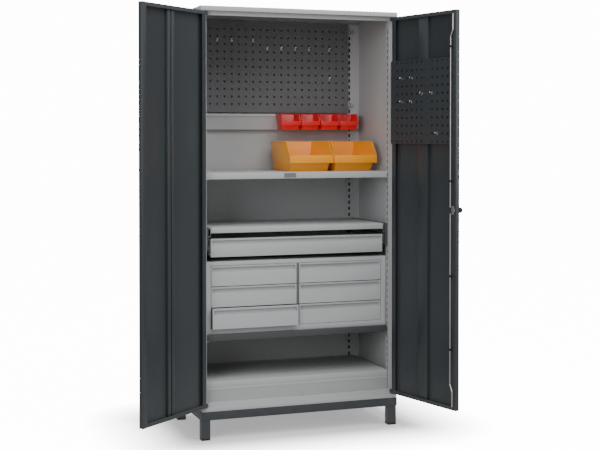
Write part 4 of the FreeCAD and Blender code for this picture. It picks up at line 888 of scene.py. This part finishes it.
class CABINET_OT_bins(bpy.types.Operator):
    """Mould the open-fronted bins, with their rolled rims and hanging lips"""

    bl_idname = "cabinet.bins"
    bl_label = "Bins"

    # The hanging lip, then the side profile as shares of a bin's height or depth, then its edges.
    LIP_DEPTH = 0.0056
    LIP_END = 0.009
    LIP_LEVELS = (0.0122, 0.0072)
    TAPER_SHARE = 0.07
    NOSE_SHARE = 0.53
    TOE_SHARE = 0.86
    SHOULDER_SHARE = 0.8
    RIM_THICKNESS = 0.004
    OVERLAP = 0.001
    BAND_RISE = 0.0005
    BAND_LIMIT = 0.26
    BAND_TURN = 0.2
    EDGE_ROUNDING = 0.0007

    def execute(self, context):
        for number in range(1, 5):
            self.bin(f"red_bin_{number}", "red_plastic", True)
        for number in range(1, 3):
            self.bin(f"orange_bin_{number}", "orange_plastic", False)
        return {"FINISHED"}

    def bin(self, node, paint, hangs):
        low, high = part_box(node)
        rim = sizes().bin_rim
        rear = high.y
        if hangs:
            rear -= self.LIP_DEPTH
        depth, tall = rear - low.y, high.z - low.z
        taper = (high.x - low.x) * self.TAPER_SHARE
        shell = block(node + "_moulding", (low.x + rim, low.y + rim, low.z), (high.x - rim, rear, high.z))
        edit(shell)
        pick(lambda c, n: n.z < -0.9)
        bpy.ops.transform.resize(value=(1 - 2 * taper / (high.x - low.x - 2 * rim), 1, 1),
                                 center_override=((low.x + high.x) / 2, rear, low.z))
        nose = Vector((0, low.y + rim, low.z + tall * self.NOSE_SHARE))
        toe = Vector((0, rear - depth * self.TOE_SHARE, low.z))
        shoulder = Vector((0, rear - depth * self.SHOULDER_SHARE, high.z))
        slice_mesh(nose, Vector((0, toe.z - nose.z, nose.y - toe.y)).normalized(), True)
        slice_mesh(nose, Vector((0, nose.z - shoulder.z, shoulder.y - nose.y)).normalized(), True)
        pick(lambda c, n: n.z > 0.9 or (n.y < -0.3 and n.z > 0.3))
        bpy.ops.mesh.delete(type="FACE")
        leave()
        modify(shell, "SOLIDIFY", thickness=sizes().bin_wall, offset=-1.0, use_even_offset=True)
        closed_outwards(shell)
        parts = [shell, *self.rims(low, high, rear, nose, shoulder, rim), self.band(low, high, nose, tall)]
        if hangs:
            parts.append(self.lip(low, high, rear))
        moulded = rounded(joined(parts, node + "_moulding"), self.EDGE_ROUNDING)
        finish_piece(moulded, BODY_OF[node], paint, node)

    def rims(self, low, high, rear, nose, shoulder, rim):
        """A rolled rim along each side, down the slope, and one across the back."""
        wall = sizes().bin_wall
        under = high.z - self.RIM_THICKNESS
        made = []
        for start, end in ((low.x, low.x + rim + wall), (high.x - rim - wall, high.x)):
            made.append(block("rim", (start, shoulder.y, under), (end, rear, high.z)))
            bar = block("rim", (start, nose.y, under), (end, shoulder.y, high.z))
            edit(bar)
            pick(lambda c, n: n.y < -0.9)
            bpy.ops.transform.translate(value=(0, 0, nose.z - high.z + self.BAND_RISE))
            leave()
            made.append(bar)
        inner = rear - wall - self.OVERLAP
        made.append(block("rim", (low.x + rim, inner, under), (high.x - rim, rear, high.z)))
        return made

    def band(self, low, high, nose, tall):
        """The band that stands out across the front and turns a little way along each side."""
        wall = sizes().bin_wall
        bottom = nose.z - min(sizes().bin_band, tall * self.BAND_LIMIT)
        end = low.y + tall * self.BAND_TURN
        band = block("band", (low.x, low.y, bottom), (high.x, end, nose.z + self.BAND_RISE))
        edit(band)
        pick(lambda c, n: n.y > 0.9 or abs(n.z) > 0.9)
        bpy.ops.mesh.delete(type="FACE")
        leave()
        modify(band, "SOLIDIFY", thickness=wall, offset=-1.0, use_even_offset=True)
        ledge = block("ledge", (low.x + wall, low.y + wall, bottom), (high.x - wall, end, bottom + wall))
        return joined([closed_outwards(band), ledge], "band")

    def lip(self, low, high, rear):
        """The hanging lip behind a small bin."""
        under, over = (high.z - drop for drop in self.LIP_LEVELS)
        return block("lip", (low.x + self.LIP_END, rear - self.OVERLAP, under),
                     (high.x - self.LIP_END, high.y, over))


class CABINET_OT_studio(bpy.types.Operator):
    """Lay the pale studio floor and set the soft lights and the camera"""

    bl_idname = "cabinet.studio"
    bl_label = "Studio"

    FLOOR_SIZE = 60.0
    FLOOR_LEVEL = -0.0005
    BACKDROP_STRENGTH = 14.0
    FILL_STRENGTH = 0.45
    CAMERA_PLACE = (-2.020, -5.802, 1.431)
    CAMERA_TURN = (math.radians(90.0 - 1.16), 0.0, -0.3474)
    LENS = 74.0
    SHIFT_UP = -0.108

    def execute(self, context):
        deselect()
        bpy.ops.mesh.primitive_plane_add(size=self.FLOOR_SIZE, location=(0, 0, self.FLOOR_LEVEL))
        floor = context.object
        floor.name = "studio_floor"
        bpy.ops.object.transform_apply(location=True, rotation=True, scale=True)
        floor.data.materials.append(PAINTS["floor"])
        floor.visible_diffuse = False
        floor.visible_glossy = False
        self.world(context)
        self.lamp("overhead_softbox", place=(0.5, -2.6, 4.6), target=(0, -0.2, 0.9), size=3.4, power=150.0)
        self.lamp("left_softbox", place=(-4.2, -4.4, 2.6), target=(0, 0, 1.0), size=2.6, power=110.0)
        self.lamp("right_softbox", place=(4.4, -3.6, 2.4), target=(0, 0, 1.0), size=2.4, power=60.0)
        self.camera(context)
        return {"FINISHED"}

    def world(self, context):
        """A white backdrop that lights the cabinet only softly."""
        world = context.scene.world or bpy.data.worlds.new("studio")
        context.scene.world = world
        world.use_nodes = True
        sky = world.node_tree.nodes["Background"]
        sky.inputs["Color"].default_value = (1.0, 1.0, 1.0, 1.0)
        seen = add_node(world.node_tree, "ShaderNodeLightPath", {}, {}, "Is Camera Ray")
        strength = seen * self.BACKDROP_STRENGTH + self.FILL_STRENGTH
        world.node_tree.links.new(strength.socket, sky.inputs["Strength"])

    def lamp(self, name, place, target, size, power):
        bpy.ops.object.light_add(type="AREA", location=place)
        lamp = bpy.context.object
        lamp.name = name
        lamp.data.size = size
        lamp.data.energy = power
        lamp.rotation_euler = (Vector(target) - Vector(place)).to_track_quat("-Z", "Y").to_euler()

    def camera(self, context):
        bpy.ops.object.camera_add(location=self.CAMERA_PLACE, rotation=self.CAMERA_TURN)
        camera = context.object
        camera.data.sensor_width = 36.0
        camera.data.lens = self.LENS
        camera.data.shift_y = self.SHIFT_UP
        camera.data.clip_end = 100.0
        context.scene.camera = camera


OPERATORS = (CABINET_OT_finishes, CABINET_OT_carcass, CABINET_OT_doors, CABINET_OT_drawers, CABINET_OT_trim,
             CABINET_OT_feet, CABINET_OT_knob, CABINET_OT_hooks, CABINET_OT_bins, CABINET_OT_studio)


class CABINET_PT_pieces(bpy.types.Panel):
    """The pieces of the cabinet, with their sizes and colours"""

    bl_label = "Tool cabinet"
    bl_idname = "CABINET_PT_pieces"
    bl_space_type = "VIEW_3D"
    bl_region_type = "UI"
    bl_category = "Cabinet"

    def draw(self, context):
        for operator in OPERATORS:
            self.layout.operator(operator.bl_idname)
        for group in (context.scene.cabinet_sizes, context.scene.cabinet_colours):
            column = self.layout.column()
            for name in group.__annotations__:
                column.prop(group, name)


CLASSES = (CabinetSizes, CabinetColours, *OPERATORS, CABINET_PT_pieces)


def register():
    for entry in CLASSES:
        bpy.utils.register_class(entry)
    bpy.types.Scene.cabinet_sizes = bpy.props.PointerProperty(type=CabinetSizes)
    bpy.types.Scene.cabinet_colours = bpy.props.PointerProperty(type=CabinetColours)


def unregister():
    del bpy.types.Scene.cabinet_colours
    del bpy.types.Scene.cabinet_sizes
    for entry in reversed(CLASSES):
        bpy.utils.unregister_class(entry)


def main():
    register()
    for name in ("finishes", "carcass", "doors", "drawers", "trim", "feet", "knob", "hooks", "bins",
                 "studio"):
        getattr(bpy.ops.cabinet, name)()


if __name__ == "__main__":
    main()
